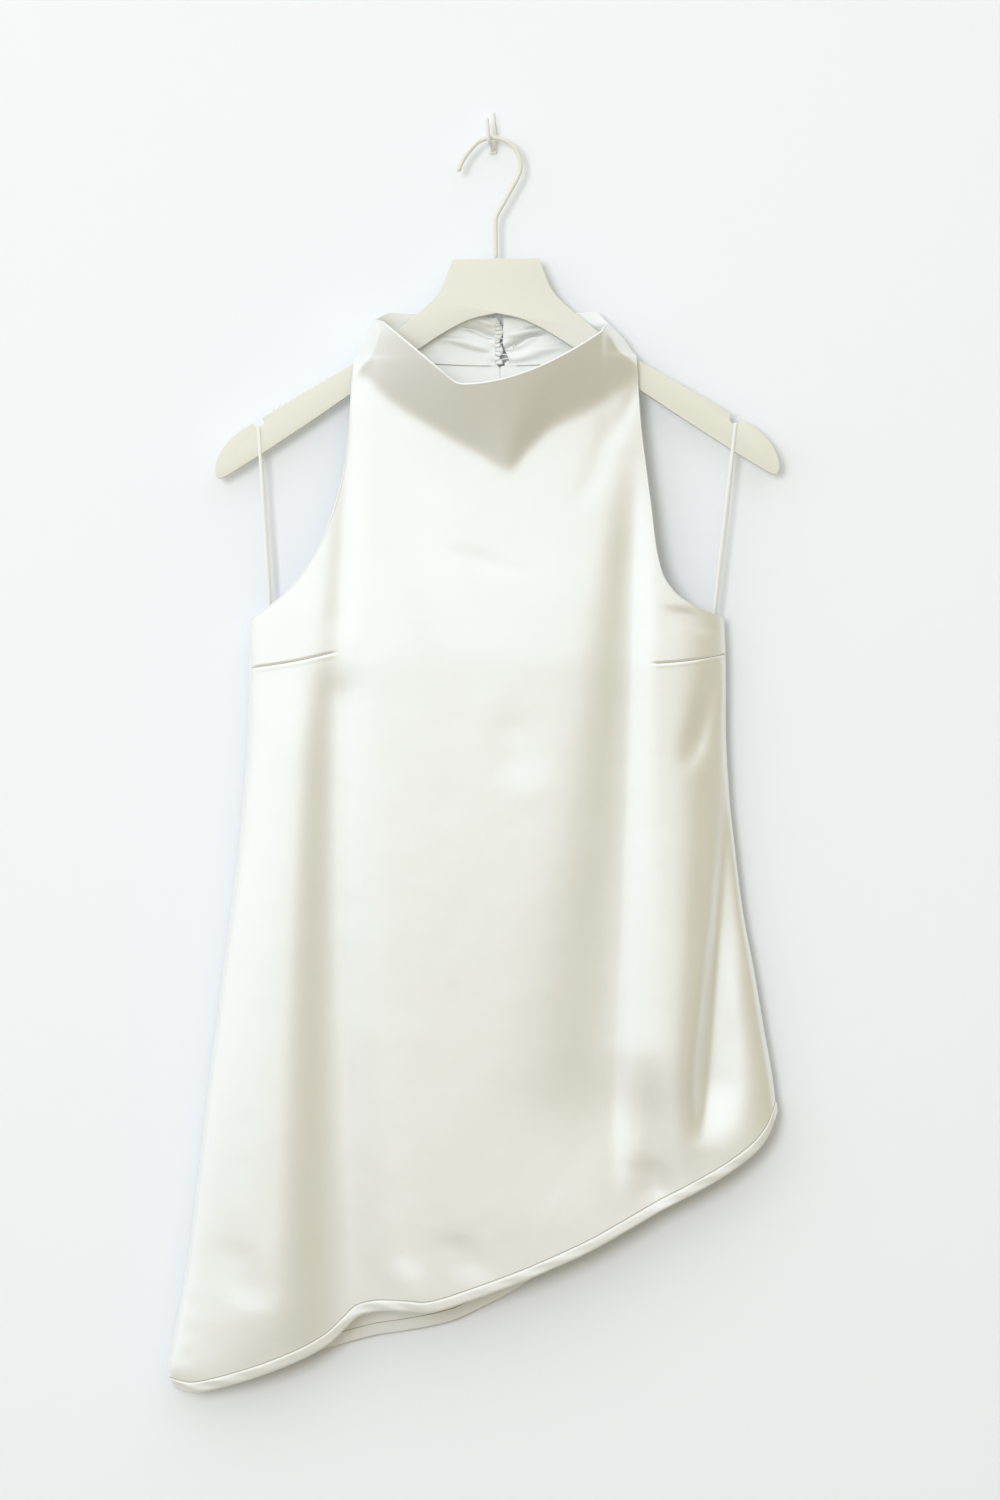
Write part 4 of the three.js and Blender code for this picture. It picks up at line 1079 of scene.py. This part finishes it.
def build_soft_light(strength):
    """The soft light: a ramp over half the cosine to SOFT_LIGHT plus a half."""
    world = bpy.data.worlds.new("studio")
    world.use_nodes = True
    bpy.context.scene.world = world
    tree = world.node_tree
    background = tree.nodes["Background"]
    background.inputs["Strength"].default_value = strength
    place = tree.nodes.new("ShaderNodeTexCoord")
    facing = tree.nodes.new("ShaderNodeVectorMath")
    facing.operation = "DOT_PRODUCT"
    facing.inputs[1].default_value = Vector(SOFT_LIGHT).normalized()
    half = tree.nodes.new("ShaderNodeMath")
    half.operation = "MULTIPLY_ADD"
    half.inputs[1].default_value = 0.5
    half.inputs[2].default_value = 0.5
    ramp = tree.nodes.new("ShaderNodeValToRGB")
    ramp.color_ramp.elements[0].position = SOFT_RAMP[0][0]
    ramp.color_ramp.elements[1].position = SOFT_RAMP[-1][0]
    for position, _ in SOFT_RAMP[1:-1]:
        ramp.color_ramp.elements.new(position)
    for element, (_, colour) in zip(ramp.color_ramp.elements, SOFT_RAMP):
        element.color = (*colour, 1)
    tree.links.new(place.outputs["Generated"], facing.inputs[0])
    tree.links.new(facing.outputs["Value"], half.inputs[0])
    tree.links.new(half.outputs["Value"], ramp.inputs["Fac"])
    tree.links.new(ramp.outputs["Color"], background.inputs["Color"])


def build_camera(middle, distance):
    """The camera, level with the middle of the photo, which it frames from the given distance."""
    data = bpy.data.cameras.new("photo_camera")
    data.sensor_fit = "AUTO"
    data.sensor_width = SENSOR
    data.lens = SENSOR * distance / (PHOTO_HEIGHT * MM)
    data.clip_end = 50
    camera = bpy.data.objects.new("photo_camera", data)
    camera.location = (middle[0], -distance, middle[2])
    camera.rotation_euler = (math.radians(90), 0, 0)
    bpy.context.scene.collection.objects.link(camera)
    bpy.context.scene.camera = camera
    bpy.context.scene.view_settings.view_transform = "Standard"


class HALTER_OT_front(bpy.types.Operator):
    """Build the front with its collar, hem and turned edges"""
    bl_idname = "halter.front"
    bl_label = "Front"

    def execute(self, context):
        build_front()
        return {"FINISHED"}


class HALTER_OT_back(bpy.types.Operator):
    """Build the back with its slit and hem"""
    bl_idname = "halter.back"
    bl_label = "Back"

    def execute(self, context):
        build_back()
        return {"FINISHED"}


class HALTER_OT_band(bpy.types.Operator):
    """Build both halves of the back neckband"""
    bl_idname = "halter.band"
    bl_label = "Neckband"

    def execute(self, context):
        build_band()
        return {"FINISHED"}


class HALTER_OT_buttons(bpy.types.Operator):
    """Build the covered buttons and their corded loops"""
    bl_idname = "halter.buttons"
    bl_label = "Buttons"

    def execute(self, context):
        build_buttons()
        return {"FINISHED"}


class HALTER_OT_ribbons(bpy.types.Operator):
    """Build the ribbon loops that hang from the hanger's notches"""
    bl_idname = "halter.ribbons"
    bl_label = "Ribbons"

    def execute(self, context):
        build_ribbons()
        return {"FINISHED"}


class HALTER_OT_hanger(bpy.types.Operator):
    """Build the board and the wire of the hanger"""
    bl_idname = "halter.hanger"
    bl_label = "Hanger"

    def execute(self, context):
        build_hanger()
        return {"FINISHED"}


class HALTER_OT_wall_hook(bpy.types.Operator):
    """Build the hook on the wall"""
    bl_idname = "halter.wall_hook"
    bl_label = "Wall Hook"

    def execute(self, context):
        build_wall_hook()
        return {"FINISHED"}


class HALTER_OT_stage(bpy.types.Operator):
    """Build the wall, the floor, the lights and the camera"""
    bl_idname = "halter.stage"
    bl_label = "Stage"

    def execute(self, context):
        build_stage()
        return {"FINISHED"}


class HALTER_PT_panel(bpy.types.Panel):
    """Settings and build buttons of the halter neck top"""
    bl_idname = "HALTER_PT_panel"
    bl_label = "Halter Neck Top"
    bl_space_type = "VIEW_3D"
    bl_region_type = "UI"
    bl_category = "Halter Top"

    def draw(self, context):
        layout = self.layout
        for group in SETTINGS:
            box = layout.box()
            values = getattr(context.scene, group)
            for name in values.bl_rna.properties.keys():
                if name not in ("rna_type", "name"):
                    box.prop(values, name)
        for operator in OPERATORS:
            layout.operator(operator.bl_idname)


SETTINGS = {"halter_satin": SatinSettings, "halter_hanger": HangerSettings, "halter_stage": StageSettings}
OPERATORS = (HALTER_OT_front, HALTER_OT_back, HALTER_OT_band, HALTER_OT_buttons, HALTER_OT_ribbons,
             HALTER_OT_hanger, HALTER_OT_wall_hook, HALTER_OT_stage)


def register():
    for cls in (*SETTINGS.values(), *OPERATORS, HALTER_PT_panel):
        bpy.utils.register_class(cls)
    for name, group in SETTINGS.items():
        setattr(bpy.types.Scene, name, PointerProperty(type=group))


def unregister():
    for name in SETTINGS:
        delattr(bpy.types.Scene, name)
    for cls in (HALTER_PT_panel, *reversed(OPERATORS), *reversed(SETTINGS.values())):
        bpy.utils.unregister_class(cls)


def main():
    register()
    bpy.ops.halter.stage()
    bpy.ops.halter.front()
    bpy.ops.halter.back()
    bpy.ops.halter.band()
    bpy.ops.halter.buttons()
    bpy.ops.halter.ribbons()
    bpy.ops.halter.hanger()
    bpy.ops.halter.wall_hook()


if __name__ == "__main__":
    main()
